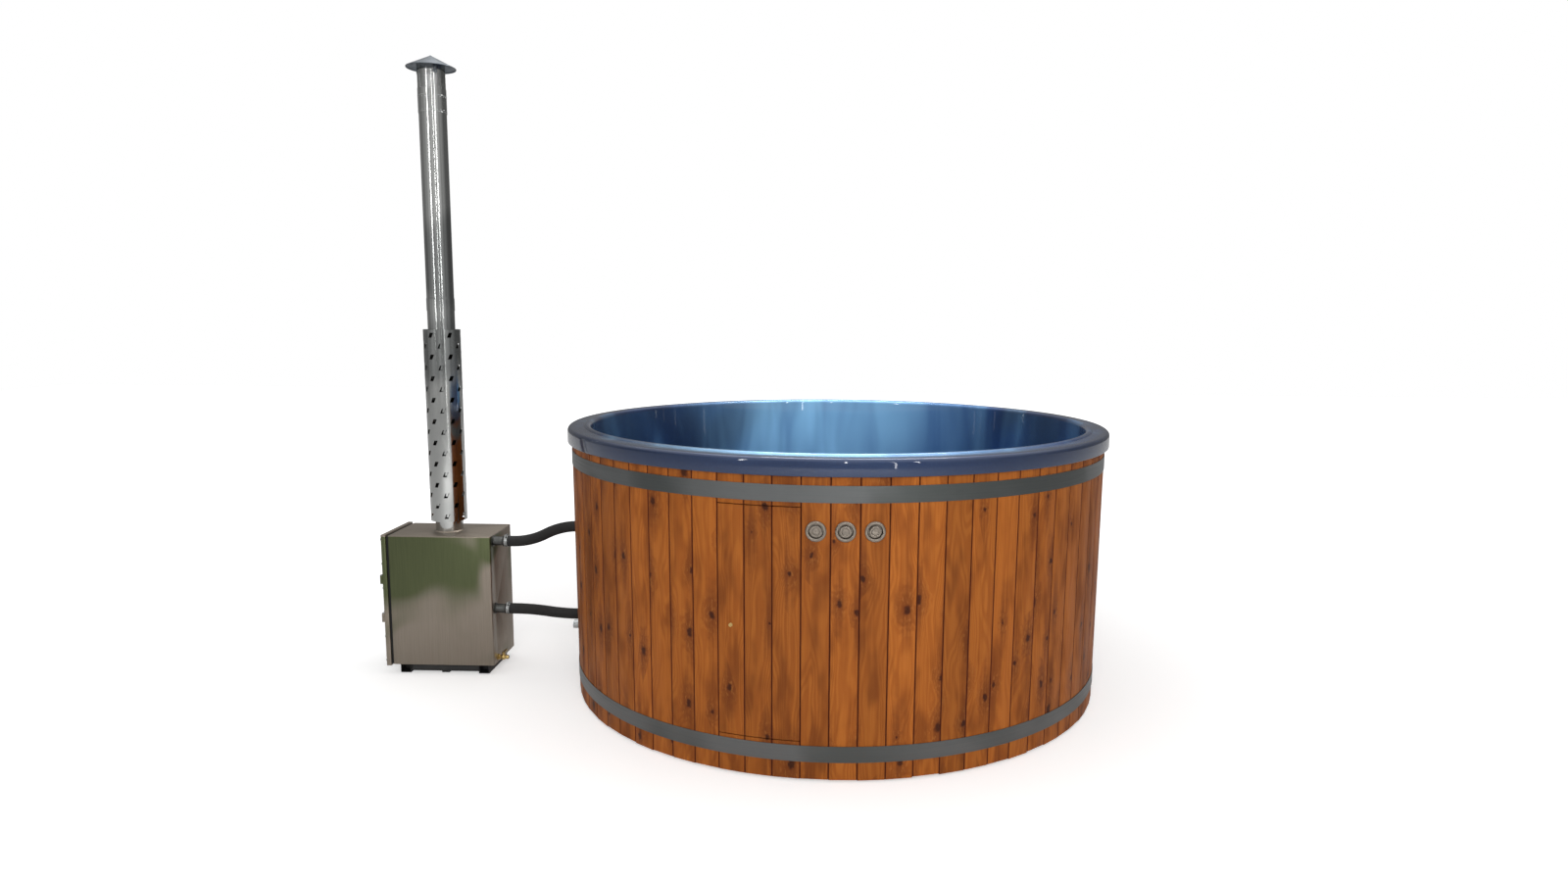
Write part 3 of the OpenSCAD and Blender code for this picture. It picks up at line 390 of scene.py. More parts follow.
def pearl_gelcoat():
    """Sprayed gelcoat with pearl pigment: soft blue drifts under a glassy clear layer, with a painted glow,
    painted shade and painted reflection streaks on the inner walls.
    """
    look = bpy.context.scene.hot_tub_shell
    material, tree, shader, place = new_finish("pearl_blue_gelcoat")
    drifts = mottled(tree, place, (769.2, 769.2, 1111), 2.0, 0.45, distortion=0.8)
    # pale vertical veils: pearl swirls that also serve as painted reflection streaks of lamps
    swirls_and_painted_streaks = mottled(tree, place, (200, 200, 909.1), 2.0, 0.5, distortion=0.9)
    split = node(tree, "SeparateXYZ", place, out=None)
    out = node(
        tree,
        "Math SQRT",
        node(
            tree, "Math ADD", node(tree, "Math POWER", split[0], 2.0), node(tree, "Math POWER", split[1], 2.0)
        ),
    )
    inside = node(tree, "MapRange SMOOTHSTEP", out, 0.985, 0.955)
    # painted light and shade: the inner walls across the tub are painted paler where they would catch the
    # lamps' glow, and painted shade makes them deeper at its sides
    around = node(tree, "Math ARCTAN2", split[0], node(tree, "Math ABSOLUTE", split[1]))
    wander = node(tree, "Math MULTIPLY", node(tree, "Math SUBTRACT", drifts, 0.5), 0.45)
    away = node(tree, "Math ABSOLUTE", node(tree, "Math ADD", node(tree, "Math ADD", around, 0.06), wander))
    wall = node(tree, "Math MULTIPLY", inside, node(tree, "MapRange SMOOTHSTEP", out, 0.72, 0.86))
    # painted glow: pale towards the middle of each wall across the tub
    painted_glow = node(tree, "Math MULTIPLY", node(tree, "MapRange SMOOTHSTEP", away, 1.0, 0.06), wall)
    # painted shade: deep towards the tub's sides
    shade = node(tree, "Math MULTIPLY", node(tree, "MapRange SMOOTHSTEP", away, 0.6, 1.4, 0.0, 0.15), wall)
    outer = node(tree, "Math SUBTRACT", 1.0, inside)
    pearl = node(
        tree, "Mix RGBA", node(tree, "MapRange SMOOTHSTEP", drifts, 0.34, 0.66), look.deep, look.middle
    )
    pearl = node(tree, "Mix RGBA", shade, pearl, look.deep)
    pearl = node(
        tree, "Mix RGBA", node(tree, "MapRange SMOOTHSTEP", swirls_and_painted_streaks, 0.5, 0.78, 0.0, 0.3), pearl, look.pale
    )
    pearl = node(tree, "Mix RGBA", node(tree, "Math MULTIPLY", outer, 0.95), pearl, look.deep)
    pearl = node(
        tree,
        "Mix RGBA",
        node(tree, "Math MULTIPLY", painted_glow, node(tree, "MapRange SMOOTHSTEP", swirls_and_painted_streaks, 0.25, 0.7, 0.45, 1.0)),
        pearl,
        look.pale,
    )
    flakes = mottled(tree, place, 1.111, 1.0)
    pearl = node(
        tree, "Mix RGBA", node(tree, "MapRange SMOOTHSTEP", flakes, 0.58, 0.75, 0.0, 0.1), pearl, look.pale
    )
    feed(tree, shader, {
        "Base Color": pearl,
        "Metallic": 0.7,
        "Roughness": node(tree, "MapRange SMOOTHSTEP", drifts, 0.3, 0.7, 0.42, 0.52),
        "Coat Weight": 1.0,
        "Coat Roughness": 0.03,
    })
    # the inner wall sweeps outwards towards the rim, and a hand-laid moulding is never quite flat
    lift = node(tree, "Math MAXIMUM", node(tree, "Math SUBTRACT", split[2], 0.5), 0.0)
    sweep = node(tree, "Math MULTIPLY", node(tree, "Math POWER", lift, 2.0), look.sweep / 0.0012)
    at_top = look.sweep * 0.475 ** 2 / 0.0012
    sweep = node(tree, "Math MULTIPLY", node(tree, "Math SUBTRACT", sweep, at_top), inside)
    feed(tree, shader, {
        "Normal": node(tree, "Bump", at={
            "Height": node(tree, "Math SUBTRACT", mottled(tree, place, 250, 1.0), sweep), "Distance": 0.0012
        }),
    })
    return material


def stainless(title, main, other, rough, patches, grain=None, rise=None):
    """Stainless steel: mirror-like, with patches of a second colour and a brushed or ground grain; on the
    heater's casing the patches are painted reflections.

    rise holds the heights between which the painted reflection patches thicken, and the one above which they
    end, leaving the top face and a narrow strip under its edge pale as a painted highlight.
    """
    material, tree, shader, place = new_finish(title)
    clouds = mottled(tree, place, patches, 1.0, 0.4, distortion=0.5)
    if rise:
        height = node(tree, "SeparateXYZ", place, out=2)
        # painted reflection: the olive patches grow thicker with height
        clouds = node(
            tree, "Math ADD", clouds, node(tree, "MapRange SMOOTHSTEP", height, rise[0], rise[1], -0.13, 0.12)
        )
        # painted highlight: near the top the patches are taken away, so the top face and a narrow strip under
        # its edge show the pale sheet
        clouds = node(
            tree,
            "Math SUBTRACT",
            clouds,
            node(tree, "MapRange SMOOTHSTEP", height, rise[2] - 0.004, rise[2] - 0.001, 0.0, 0.6),
        )
    steel = node(tree, "Mix RGBA", node(tree, "MapRange SMOOTHSTEP", clouds, 0.46, 0.62), main, other)
    if grain:
        # the real grit is finer; this is as coarse as it needs to be to show
        lines = mottled(tree, place, grain, 2.0, 0.6)
        steel = node(
            tree,
            "Mix RGBA",
            node(tree, "MapRange SMOOTHSTEP", lines, 0.35, 0.75, 0.0, 0.05),
            steel,
            srgb("#2E2E2C"),
        )
        feed(tree, shader, {
            "Normal": node(tree, "Bump", at={"Height": lines, "Distance": 0.00002}),
            "Roughness": node(tree, "MapRange SMOOTHSTEP", lines, 0.3, 0.7, rough - 0.05, rough + 0.08),
        })
    else:
        smears = mottled(tree, place, 55.56, 2.0)
        feed(tree, shader, {
            "Roughness": node(tree, "MapRange SMOOTHSTEP", smears, 0.3, 0.7, rough - 0.02, rough + 0.03)
        })
    feed(tree, shader, {"Base Color": steel, "Metallic": 1.0})
    return material


def ground_sheet():
    """The heater's casing: olive patches of painted reflection that thicken towards its top edge, and a painted
    highlight along that edge.
    """
    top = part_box("heater_casing")[1].z - 5 * MM
    rise = (0.2, 0.5, top)
    return stainless("ground_stainless_sheet", metal("sheet"), metal("sheet_painted_reflection"), 0.44, 294.1, GROUND, rise)


def plain_metal(title, main, rough, wear="#6A6A66", amount=0.25, size=16.67):
    """A plated, turned or cast metal: blurred reflections, with duller specks of wear."""
    material, tree, shader, place = new_finish(title)
    specks = mottled(tree, place, size, 3.0, 0.6)
    feed(tree, shader, {
        "Base Color": node(
            tree,
            "Mix RGBA",
            node(tree, "MapRange SMOOTHSTEP", specks, 0.5, 0.75, 0.0, amount),
            main,
            srgb(wear),
        ),
        "Roughness": node(tree, "MapRange SMOOTHSTEP", specks, 0.3, 0.7, rough, rough + 0.12),
        "Metallic": 1.0,
        "Normal": node(tree, "Bump", at={"Height": specks, "Distance": 0.00004}),
    })
    return material


def moulded(title, main, rough, size=1.111, depth=0.06 * MM, dirty=0.12):
    """Moulded plastic, rubber or paint: a soft sheen on a fine grain, and a little dust."""
    material, tree, shader, place = new_finish(title)
    grain = mottled(tree, place, size, 2.0)
    dirt = mottled(tree, place, 111.1, 4.0, 0.6)
    feed(tree, shader, {
        "Base Color": node(
            tree,
            "Mix RGBA",
            node(tree, "MapRange SMOOTHSTEP", dirt, 0.5, 0.8, 0.0, dirty),
            main,
            srgb("#8A857C"),
        ),
        "Roughness": node(tree, "MapRange SMOOTHSTEP", dirt, 0.3, 0.7, rough, rough + 0.1),
        "Normal": node(tree, "Bump", at={"Height": grain, "Distance": depth}),
    })
    return material


def woven_rope():
    """Woven glass-fibre rope: pale crossed strands."""
    material, tree, shader, place = new_finish("woven_glass_rope")
    strands = node(
        tree,
        "TexWave",
        at={"Vector": place, "Scale": 90.0, "Distortion": 1.0},
        out=1,
        bands_direction="DIAGONAL",
    )
    feed(tree, shader, {
        "Base Color": node(tree, "Mix RGBA", strands, srgb("#9C9384"), srgb("#D8D2C4")),
        "Roughness": 0.9,
        "Normal": node(tree, "Bump", at={"Height": strands, "Distance": 0.0006}),
    })
    return material


# grain of the steels in millimetres along each axis
BRUSHED = (250, 250, 1.429)
GROUND = (3.333, 3.333, 111.1)

FINISHES = {}


def finish(name):
    """The material of that name, made once."""
    if name not in FINISHES:
        FINISHES[name] = MAKERS[name]()
    return FINISHES[name]


def metal(key):
    """A colour of the metals' settings."""
    return getattr(bpy.context.scene.hot_tub_metals, key)[:]


def rubber_black():
    """The hoses' colour."""
    return bpy.context.scene.hot_tub_hoses.rubber[:]


# what each finish is made of and how: its colours, roughness, wear and size of grain
MAKERS = {
    # stained, sawn and oiled timber: matt, with the grain along the piece
    "boards": stained_spruce,
    "raw_timber_x": lambda: plain_timber("sawn_spruce_along_x", "#C9A777", "#9C7647", 0),
    "raw_timber_y": lambda: plain_timber("sawn_spruce_along_y", "#B7A071", "#80693F", 1),
    "raw_timber_z": lambda: plain_timber("sawn_spruce_rings", "#C9A777", "#9C7647", 2),
    "plywood": lambda: plain_timber("film_faced_plywood", "#5E4632", "#3D2B1E", 0),
    "grip_wood": lambda: plain_timber("oiled_ash_grip", "#8A5A34", "#5A3820", 2),
    # sprayed gelcoat: a wet gloss over pearl
    "gelcoat": pearl_gelcoat,
    # stainless steel sheet and tube: brushed bands, ground casing, polished flue
    "band": lambda: stainless("brushed_stainless_band", metal("band"), srgb("#5B5E5D"), 0.38, 400, BRUSHED),
    "sheet": ground_sheet,
    "pipe": lambda: stainless("polished_stainless_pipe", metal("pipe"), srgb("#8E908F"), 0.13, 333.3),
    # turned, plated and cast metal: blurred highlights and specks of wear
    "fitting": lambda: plain_metal("turned_stainless_fitting", srgb("#9A9A97"), 0.3),
    "chrome": lambda: plain_metal("satin_stainless_button", metal("chrome"), 0.24, "#77746C", 0.1, 25),
    "screw": lambda: plain_metal("bright_zinc_screw", srgb("#A5A7A6"), 0.24, "#5C5B57", 0.3, 5),
    "galvanised": lambda: plain_metal("galvanised_cap_sheet", srgb("#71777D"), 0.32, "#4D5359", 0.5, 28.57),
    "stub": lambda: plain_metal("dull_steel_stub", srgb("#5A5B59"), 0.36, "#3A3A38", 0.5),
    "zinc": lambda: plain_metal("zinc_plated_steel", metal("zinc"), 0.28),
    "brass": lambda: plain_metal("turned_brass", metal("brass"), 0.26, "#7A5A26", 0.35),
    "firebox": lambda: plain_metal("heat_darkened_steel", srgb("#4A4744"), 0.5, "#2A2523", 0.7, 71.43),
    "cast_iron": lambda: plain_metal("cast_iron", srgb("#33312F"), 0.6, "#1D1B1A", 0.6, 11.11),
    # paint, rubber and moulded plastic: a soft even sheen
    # painted shadow: flat black for the shade inside the clamps' slots
    "slot": lambda: moulded("shadow_black_slot", srgb("#0B0B0B"), 0.7),
    "black_paint": lambda: moulded("satin_black_paint", srgb("#171717"), 0.42),
    "rubber": lambda: moulded("reinforced_rubber", rubber_black(), 0.66, 3.846, 0.2 * MM, 0.05),
    "gasket": lambda: moulded("flat_graphite_gasket", srgb("#101010"), 0.8),
    "black_plastic": lambda: moulded("black_moulded_plastic", srgb("#1B1B1C"), 0.45),
    "grey_plastic": lambda: moulded("grey_moulded_plastic", srgb("#A9ABAC"), 0.45),
    "white_plastic": lambda: moulded("white_pipe_plastic", srgb("#DCDBD6"), 0.35),
    "red_plastic": lambda: moulded("red_dipped_grip", srgb("#A3201B"), 0.35),
    # woven glass fibre: dry and rough
    "rope": woven_rope,
}


def evaluated_mesh(piece):
    """The mesh that an object shows, with its modifiers made real."""
    bpy.context.view_layer.update()
    graph = bpy.context.evaluated_depsgraph_get()
    return bpy.data.meshes.new_from_object(piece.evaluated_get(graph))


def new_piece(name, mesh, material=None):
    """An object at the origin that shows this mesh."""
    piece = bpy.data.objects.new(name, mesh)
    bpy.context.scene.collection.objects.link(piece)
    if material:
        mesh.materials.clear()
        mesh.materials.append(material)
    return piece


def smooth(piece, degrees=35.0):
    """Smooth shading with sharp edges past an angle."""
    piece.data.shade_smooth()
    piece.data.set_sharp_from_angle(angle=math.radians(degrees))
    return piece


def mesh_piece(name, build, material=None):
    """An object from a bmesh that build fills."""
    shape = bmesh.new()
    build(shape)
    bmesh.ops.recalc_face_normals(shape, faces=shape.faces)
    mesh = bpy.data.meshes.new(name)
    shape.to_mesh(mesh)
    shape.free()
    return new_piece(name, mesh, material)


def apply_modifiers(piece):
    """Makes an object's modifiers real."""
    mesh = evaluated_mesh(piece)
    piece.modifiers.clear()
    piece.data = mesh
    return piece


def rolled_shine(piece, centre):
    """A true cylinder's normals on a rolled sheet, so that its holes leave no creases in the shine."""
    mesh = piece.data
    normals = []
    for face in mesh.polygons:
        for corner in face.loop_indices:
            spot = mesh.vertices[mesh.loops[corner].vertex_index].co
            out = Vector((spot.x - centre[0], spot.y - centre[1], 0)).normalized()
            side = out.dot(face.normal)
            normals.append(out if side > 0.9 else -out if side < -0.9 else face.normal)
    mesh.normals_split_custom_set(normals)
    return piece


def joined(name, parts):
    """Several objects made one."""
    chosen = {
        "active_object": parts[0],
        "object": parts[0],
        "selected_objects": parts,
        "selected_editable_objects": parts,
    }
    with bpy.context.temp_override(**chosen):
        bpy.ops.object.join()
    parts[0].name = name
    return parts[0]


def cut(piece, cutter, operation="DIFFERENCE"):
    """Cuts a closed solid out of a piece, or adds it."""
    modifier = piece.modifiers.new("Cut", "BOOLEAN")
    modifier.operation = operation
    modifier.solver = "EXACT"
    modifier.object = cutter
    apply_modifiers(piece)
    bpy.data.objects.remove(cutter)
    return piece


def arc(centre, radius, first, last, steps):
    """Points on an arc, in degrees."""
    turns = [math.radians(first + (last - first) * k / steps) for k in range(steps + 1)]
    return [(centre[0] + radius * math.cos(t), centre[1] + radius * math.sin(t)) for t in turns]


def lathe(name, outline, material, place=Matrix.Identity(4), sides=96):
    """A closed outline of radius and height turned round Z, then put in place."""

    def build(shape):
        loops = []
        for radius, height in outline:
            if radius < 1e-7:
                loops.append([shape.verts.new((0, 0, height))])
                continue
            turns = [2 * math.pi * k / sides for k in range(sides)]
            loops.append([shape.verts.new((radius * math.cos(t), radius * math.sin(t), height)) for t in turns])
        for lower, upper in zip(loops, loops[1:] + loops[:1]):
            if len(lower) == 1 and len(upper) == 1:
                continue
            for k in range(sides):
                m = (k + 1) % sides
                if len(lower) == 1:
                    shape.faces.new((lower[0], upper[m], upper[k]))
                elif len(upper) == 1:
                    shape.faces.new((lower[k], lower[m], upper[0]))
                else:
                    shape.faces.new((lower[k], lower[m], upper[m], upper[k]))

    piece = mesh_piece(name, build, material)
    piece.data.transform(place)
    return smooth(piece)


def drill(radius, foot, top, place, material=None):
    """A rod that cuts a round hole, in millimetres."""
    return lathe("drill", scaled([(0, foot), (radius, foot), (radius, top), (0, top)]), material, place, 48)


def scaled(points):
    """Points in millimetres turned to metres."""
    return [tuple(c * MM for c in point) for point in points]


def block(name, low, high, material, bevel=0.0, place=Matrix.Identity(4)):
    """A box between two corners with its edges rounded."""

    def build(shape):
        made = bmesh.ops.create_cube(shape, size=1.0)
        middle = (Vector(low) + Vector(high)) / 2
        size = Vector(high) - Vector(low)
        bmesh.ops.transform(
            shape, matrix=Matrix.Translation(middle) @ Matrix.Diagonal((*size, 1)), verts=made["verts"]
        )
        if bevel:
            bmesh.ops.bevel(shape, geom=shape.edges[:], offset=bevel, segments=3, profile=0.5, affect="EDGES")

    piece = mesh_piece(name, build, material)
    piece.data.transform(place)
    return smooth(piece)


def plate(name, outline, width, material):
    """An outline in X and Z given a width along Y, half to each side."""

    def build(shape):
        face = shape.faces.new([shape.verts.new((x, -width / 2, z)) for x, z in outline])
        made = bmesh.ops.extrude_face_region(shape, geom=[face])
        moved = [v for v in made["geom"] if isinstance(v, bmesh.types.BMVert)]
        bmesh.ops.translate(shape, verts=moved, vec=(0, width, 0))

    return smooth(mesh_piece(name, build, material))


def rivet(radius, height, place):
    """A domed rivet head standing on the origin, then put in place."""
    dome = [(0, -0.5), (radius, -0.5), (radius, 0.15 * height), (0.86 * radius, 0.55 * height)]
    dome += [(0.55 * radius, 0.87 * height), (0, height)]
    return lathe("rivet", scaled(dome), finish("screw"), place, 24)


def new_tree(title, sockets):
    """A Geometry Nodes tree with named inputs; returns it and those inputs."""
    tree = bpy.data.node_groups.new(title, "GeometryNodeTree")
    tree.interface.new_socket("Geometry", in_out="OUTPUT", socket_type="NodeSocketGeometry")
    for name, kind in sockets:
        tree.interface.new_socket(name, in_out="INPUT", socket_type="NodeSocket" + kind)
    return tree, node(tree, "NodeGroupInput", out=None)


def close_tree(tree, shape, material):
    """Ends a tree in real geometry with its material."""
    real = node(tree, "GeometryNodeRealizeInstances", at={"Geometry": shape})
    painted = node(tree, "GeometryNodeSetMaterial", at={"Geometry": real, "Material": material})
    node(tree, "NodeGroupOutput", at={"Geometry": painted}, out=None)
    return tree


def grown(name, tree, values):
    """What a tree makes from these inputs, as a plain mesh."""
    holder = new_piece(name, bpy.data.meshes.new(name))
    modifier = holder.modifiers.new("Grow", "NODES")
    modifier.node_group = tree
    for item in tree.interface.items_tree:
        if item.in_out == "INPUT":
            modifier[item.identifier] = values[item.name]
    return apply_modifiers(holder)


def board_row_tree():
    """Boards set side by side round the tub, each leaning out a little."""
    sockets = [
        ("Board", "Object"), ("Finish", "Material"), ("First", "Int"), ("Count", "Int"), ("Step", "Float")
    ]
    sockets += [("Start", "Float"), ("Radius", "Float"), ("Lean", "Float"), ("Base", "Float")]
    sockets += [("Uneven", "Float"), ("Seed", "Int")]
    tree, given = new_tree("Board row", sockets)
    index = node(tree, "GeometryNodeInputIndex")
    place = node(tree, "Math ADD", node(tree, "Math ADD", index, given["First"]), 0.5)
    turn = node(tree, "Math ADD", node(tree, "Math MULTIPLY", place, given["Step"]), given["Start"])
    low = node(tree, "Math MULTIPLY", given["Uneven"], -1.0)
    chance = node(
        tree,
        "FunctionNodeRandomValue",
        low,
        given["Uneven"],
        at={"Seed": given["Seed"], "ID": index},
        data_type="FLOAT",
    )
    height = node(tree, "Math ADD", given["Base"], chance)
    out = node(tree, "Math MULTIPLY", node(tree, "Math SINE", given["Lean"]), height)
    reach = node(tree, "Math MULTIPLY", node(tree, "Math ADD", given["Radius"], out), -1.0)
    rise = node(tree, "Math MULTIPLY", node(tree, "Math COSINE", given["Lean"]), height)
    flat = node(tree, "CombineXYZ", at={1: reach, 2: rise})
    spun = node(tree, "VectorRotate", at={"Vector": flat, "Angle": turn}, rotation_type="Z_AXIS")
    points = node(tree, "GeometryNodePoints", at={"Count": given["Count"], "Position": spun})
    board = node(tree, "GeometryNodeObjectInfo", at={"Object": given["Board"]}, out="Geometry")
    angles = node(tree, "CombineXYZ", at={0: given["Lean"], 2: turn})
    inputs = {"Points": points, "Instance": board, "Rotation": angles}
    placed = node(tree, "GeometryNodeInstanceOnPoints", at=inputs)
    return close_tree(tree, placed, given["Finish"])


def ring_tree():
    """Copies of a small piece set evenly round the Z axis."""
    sockets = [("Piece", "Object"), ("Finish", "Material"), ("Count", "Int"), ("Radius", "Float")]
    sockets += [("Height", "Float"), ("Start", "Float"), ("Tilt", "Float")]
    tree, given = new_tree("Ring of pieces", sockets)
    index = node(tree, "GeometryNodeInputIndex")
    step = node(tree, "Math DIVIDE", 2 * math.pi, given["Count"])
    turn = node(tree, "Math ADD", node(tree, "Math MULTIPLY", index, step), given["Start"])
    across = node(tree, "Math MULTIPLY", node(tree, "Math COSINE", turn), given["Radius"])
    deep = node(tree, "Math MULTIPLY", node(tree, "Math SINE", turn), given["Radius"])
    spot = node(tree, "CombineXYZ", across, deep, given["Height"])
    points = node(tree, "GeometryNodePoints", at={"Count": given["Count"], "Position": spot})
    piece = node(tree, "GeometryNodeObjectInfo", at={"Object": given["Piece"]}, out="Geometry")
    angles = node(tree, "CombineXYZ", at={0: given["Tilt"], 2: turn})
    inputs = {"Points": points, "Instance": piece, "Rotation": angles}
    placed = node(tree, "GeometryNodeInstanceOnPoints", at=inputs)
    return close_tree(tree, placed, given["Finish"])


def perforated_tree():
    """Sheet tiles with one hole each, laid in staggered rows and rolled into a tube."""
    sockets = [("Tile", "Object"), ("Finish", "Material"), ("Columns", "Int"), ("Rows", "Int")]
    sockets += [("Row step", "Float"), ("Radius", "Float"), ("Base", "Float"), ("Margin", "Float")]
    sockets += [("Start", "Float")]
    tree, given = new_tree("Perforated tube", sockets)
    index = node(tree, "GeometryNodeInputIndex")
    column = node(tree, "Math FLOOR", node(tree, "Math DIVIDE", index, given["Rows"]))
    row = node(tree, "Math MODULO", index, given["Rows"])
    half = node(tree, "Math MULTIPLY", node(tree, "Math MODULO", row, 2.0), 0.5)
    step = node(tree, "Math DIVIDE", 2 * math.pi, given["Columns"])
    wide = node(tree, "Math MULTIPLY", step, given["Radius"])
    across = node(tree, "Math MULTIPLY", node(tree, "Math ADD", column, half), wide)
    up = node(tree, "Math MULTIPLY", node(tree, "Math ADD", row, 0.5), given["Row step"])
    spot = node(tree, "CombineXYZ", across, up)
    total = node(tree, "Math MULTIPLY", given["Columns"], given["Rows"])
    points = node(tree, "GeometryNodePoints", at={"Count": total, "Position": spot})
    tile = node(tree, "GeometryNodeObjectInfo", at={"Object": given["Tile"]}, out="Geometry")
    laid = node(tree, "GeometryNodeInstanceOnPoints", at={"Points": points, "Instance": tile})
    real = node(tree, "GeometryNodeRealizeInstances", at={"Geometry": laid})
    place = node(tree, "SeparateXYZ", node(tree, "GeometryNodeInputPosition"), out=None)
    # the outermost rows reach on to the sheet's plain ends
    height = node(tree, "Math MULTIPLY", given["Rows"], given["Row step"])
    at_top = node(tree, "Math GREATER_THAN", place[1], node(tree, "Math SUBTRACT", height, 1e-5))
    at_foot = node(tree, "Math LESS_THAN", place[1], 1e-5)
    ends = node(tree, "Math MULTIPLY", node(tree, "Math SUBTRACT", at_top, at_foot), given["Margin"])
    rise = node(tree, "Math ADD", node(tree, "Math ADD", place[1], ends), given["Base"])
    turn = node(tree, "Math ADD", node(tree, "Math DIVIDE", place[0], given["Radius"]), given["Start"])
    x = node(tree, "Math MULTIPLY", node(tree, "Math COSINE", turn), given["Radius"])
    y = node(tree, "Math MULTIPLY", node(tree, "Math SINE", turn), given["Radius"])
    rolled = node(tree, "CombineXYZ", x, y, rise)
    moved = node(tree, "GeometryNodeSetPosition", at={"Geometry": real, "Position": rolled})
    closed = node(tree, "GeometryNodeMergeByDistance", at={"Geometry": moved, "Distance": 2e-5})
    return close_tree(tree, closed, given["Finish"])


def stood_round(name, piece, material, count, radius, height, start=0.0, tilt=0.0):
    """Copies of a small piece set round the Z axis, as one object; the piece itself goes."""
    values = {
        "Piece": piece,
        "Finish": material,
        "Count": count,
        "Radius": radius,
        "Height": height,
        "Start": start,
        "Tilt": tilt,
    }
    made = grown(name, shared_tree(ring_tree), values)
    bpy.data.objects.remove(piece)
    return smooth(made)


TREES = {}


def shared_tree(maker):
    """A tree, made once."""
    if maker not in TREES:
        TREES[maker] = maker()
    return TREES[maker]


def paint(material, *names):
    """Gives CAD nodes their finish."""
    for name in names:
        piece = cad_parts[name]
        if not piece.material_slots:
            piece.data.materials.append(material)
        for place in piece.material_slots:
            place.material = material


def add_piece(piece, body, slot, *nodes):
    """A finished piece rides on its body and stands for its CAD nodes."""
    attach(piece, body)
    if nodes:
        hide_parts(*nodes)
    return piece


def axis_of(name):
    """Middle of a round CAD node, and its radius."""
    low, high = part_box(name)
    return (low + high) / 2, (high.x - low.x) / 2


def on_board(board, height):
    """The place on a board's face, with Z turned outwards."""
    look = bpy.context.scene.hot_tub_boards
    turn = BOARD_START + 2 * math.pi / look.count * (board + 0.5)
    lean = math.atan2(look.lean, BOARD_RISE)
    foot = Matrix.Rotation(turn, 4, "Z") @ Matrix.Translation((0, -look.foot_radius, 0))
    up_the_face = Matrix.Rotation(lean, 4, "X") @ Matrix.Translation((0, 0, height))
    return foot @ up_the_face @ Matrix.Rotation(math.pi / 2, 4, "X")


def centre_of(name):
    """Middle of a CAD node's box."""
    low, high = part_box(name)
    return (low + high) / 2


def along_x(x, y, z):
    """The place of a turned piece whose Z runs along +X."""
    return Matrix.Translation((x, y, z)) @ Matrix.Rotation(math.pi / 2, 4, "Y")


def board_blank(name, span, tongue):
    """One board standing on the origin with its face on Y = 0: rounded edges, tongue and groove."""
    look = bpy.context.scene.hot_tub_boards
    half = look.width / 2
    k = math.tan(math.pi / look.count)
    t = look.thickness
    e = look.edge
    right = [(x + half - e, y + e) for x, y in arc((0, 0), e, -90, 0, 4)]
    left = [(-x, y) for x, y in reversed(right)]
    joint = ((0, 8), (5, 8), (5, 14), (0, 14)) if tongue else ((0, 8), (0, 14))
    outline = right + [(half - 8 * MM * k + out * MM, y * MM) for out, y in joint]
    outline += [(half - t * k, t), (-half + t * k, t)]
    outline += [(-half + 14.8 * MM * k, 14.8 * MM), (-half + 6 * MM, 14.8 * MM)]
    outline += [(-half + 6 * MM, 7.2 * MM), (-half + 7.2 * MM * k, 7.2 * MM)] + left

    def build(shape):
        foot = [shape.verts.new((x, y, 0)) for x, y in outline]
        face = shape.faces.new(foot)
        made = bmesh.ops.extrude_face_region(shape, geom=[face])
        lifted = [v for v in made["geom"] if isinstance(v, bmesh.types.BMVert)]
        bmesh.ops.translate(shape, verts=lifted, vec=(0, 0, span))

    return smooth(mesh_piece(name, build), 40.0)


def board_row(name, first, count, base, top, uneven, tongue_last=True):
    """A row of boards from one height to another."""
    look = bpy.context.scene.hot_tub_boards
    rows = []
    runs = [(first, count, True)]
    if not tongue_last:
        runs = [(first, count - 1, True), (first + count - 1, 1, False)]
    for start, number, tongue in runs:
        blank = board_blank(name + "_blank", top - base, tongue)
        values = {
            "Board": blank,
            "Finish": finish("boards"),
            "First": start,
            "Count": number,
            "Step": 2 * math.pi / look.count,
            "Start": BOARD_START,
            "Radius": look.foot_radius,
            "Lean": math.atan2(look.lean, BOARD_RISE),
            "Base": base,
            "Uneven": uneven,
            "Seed": 7,
        }
        rows.append(grown(name, shared_tree(board_row_tree), values))
        bpy.data.objects.remove(blank)
    return rows


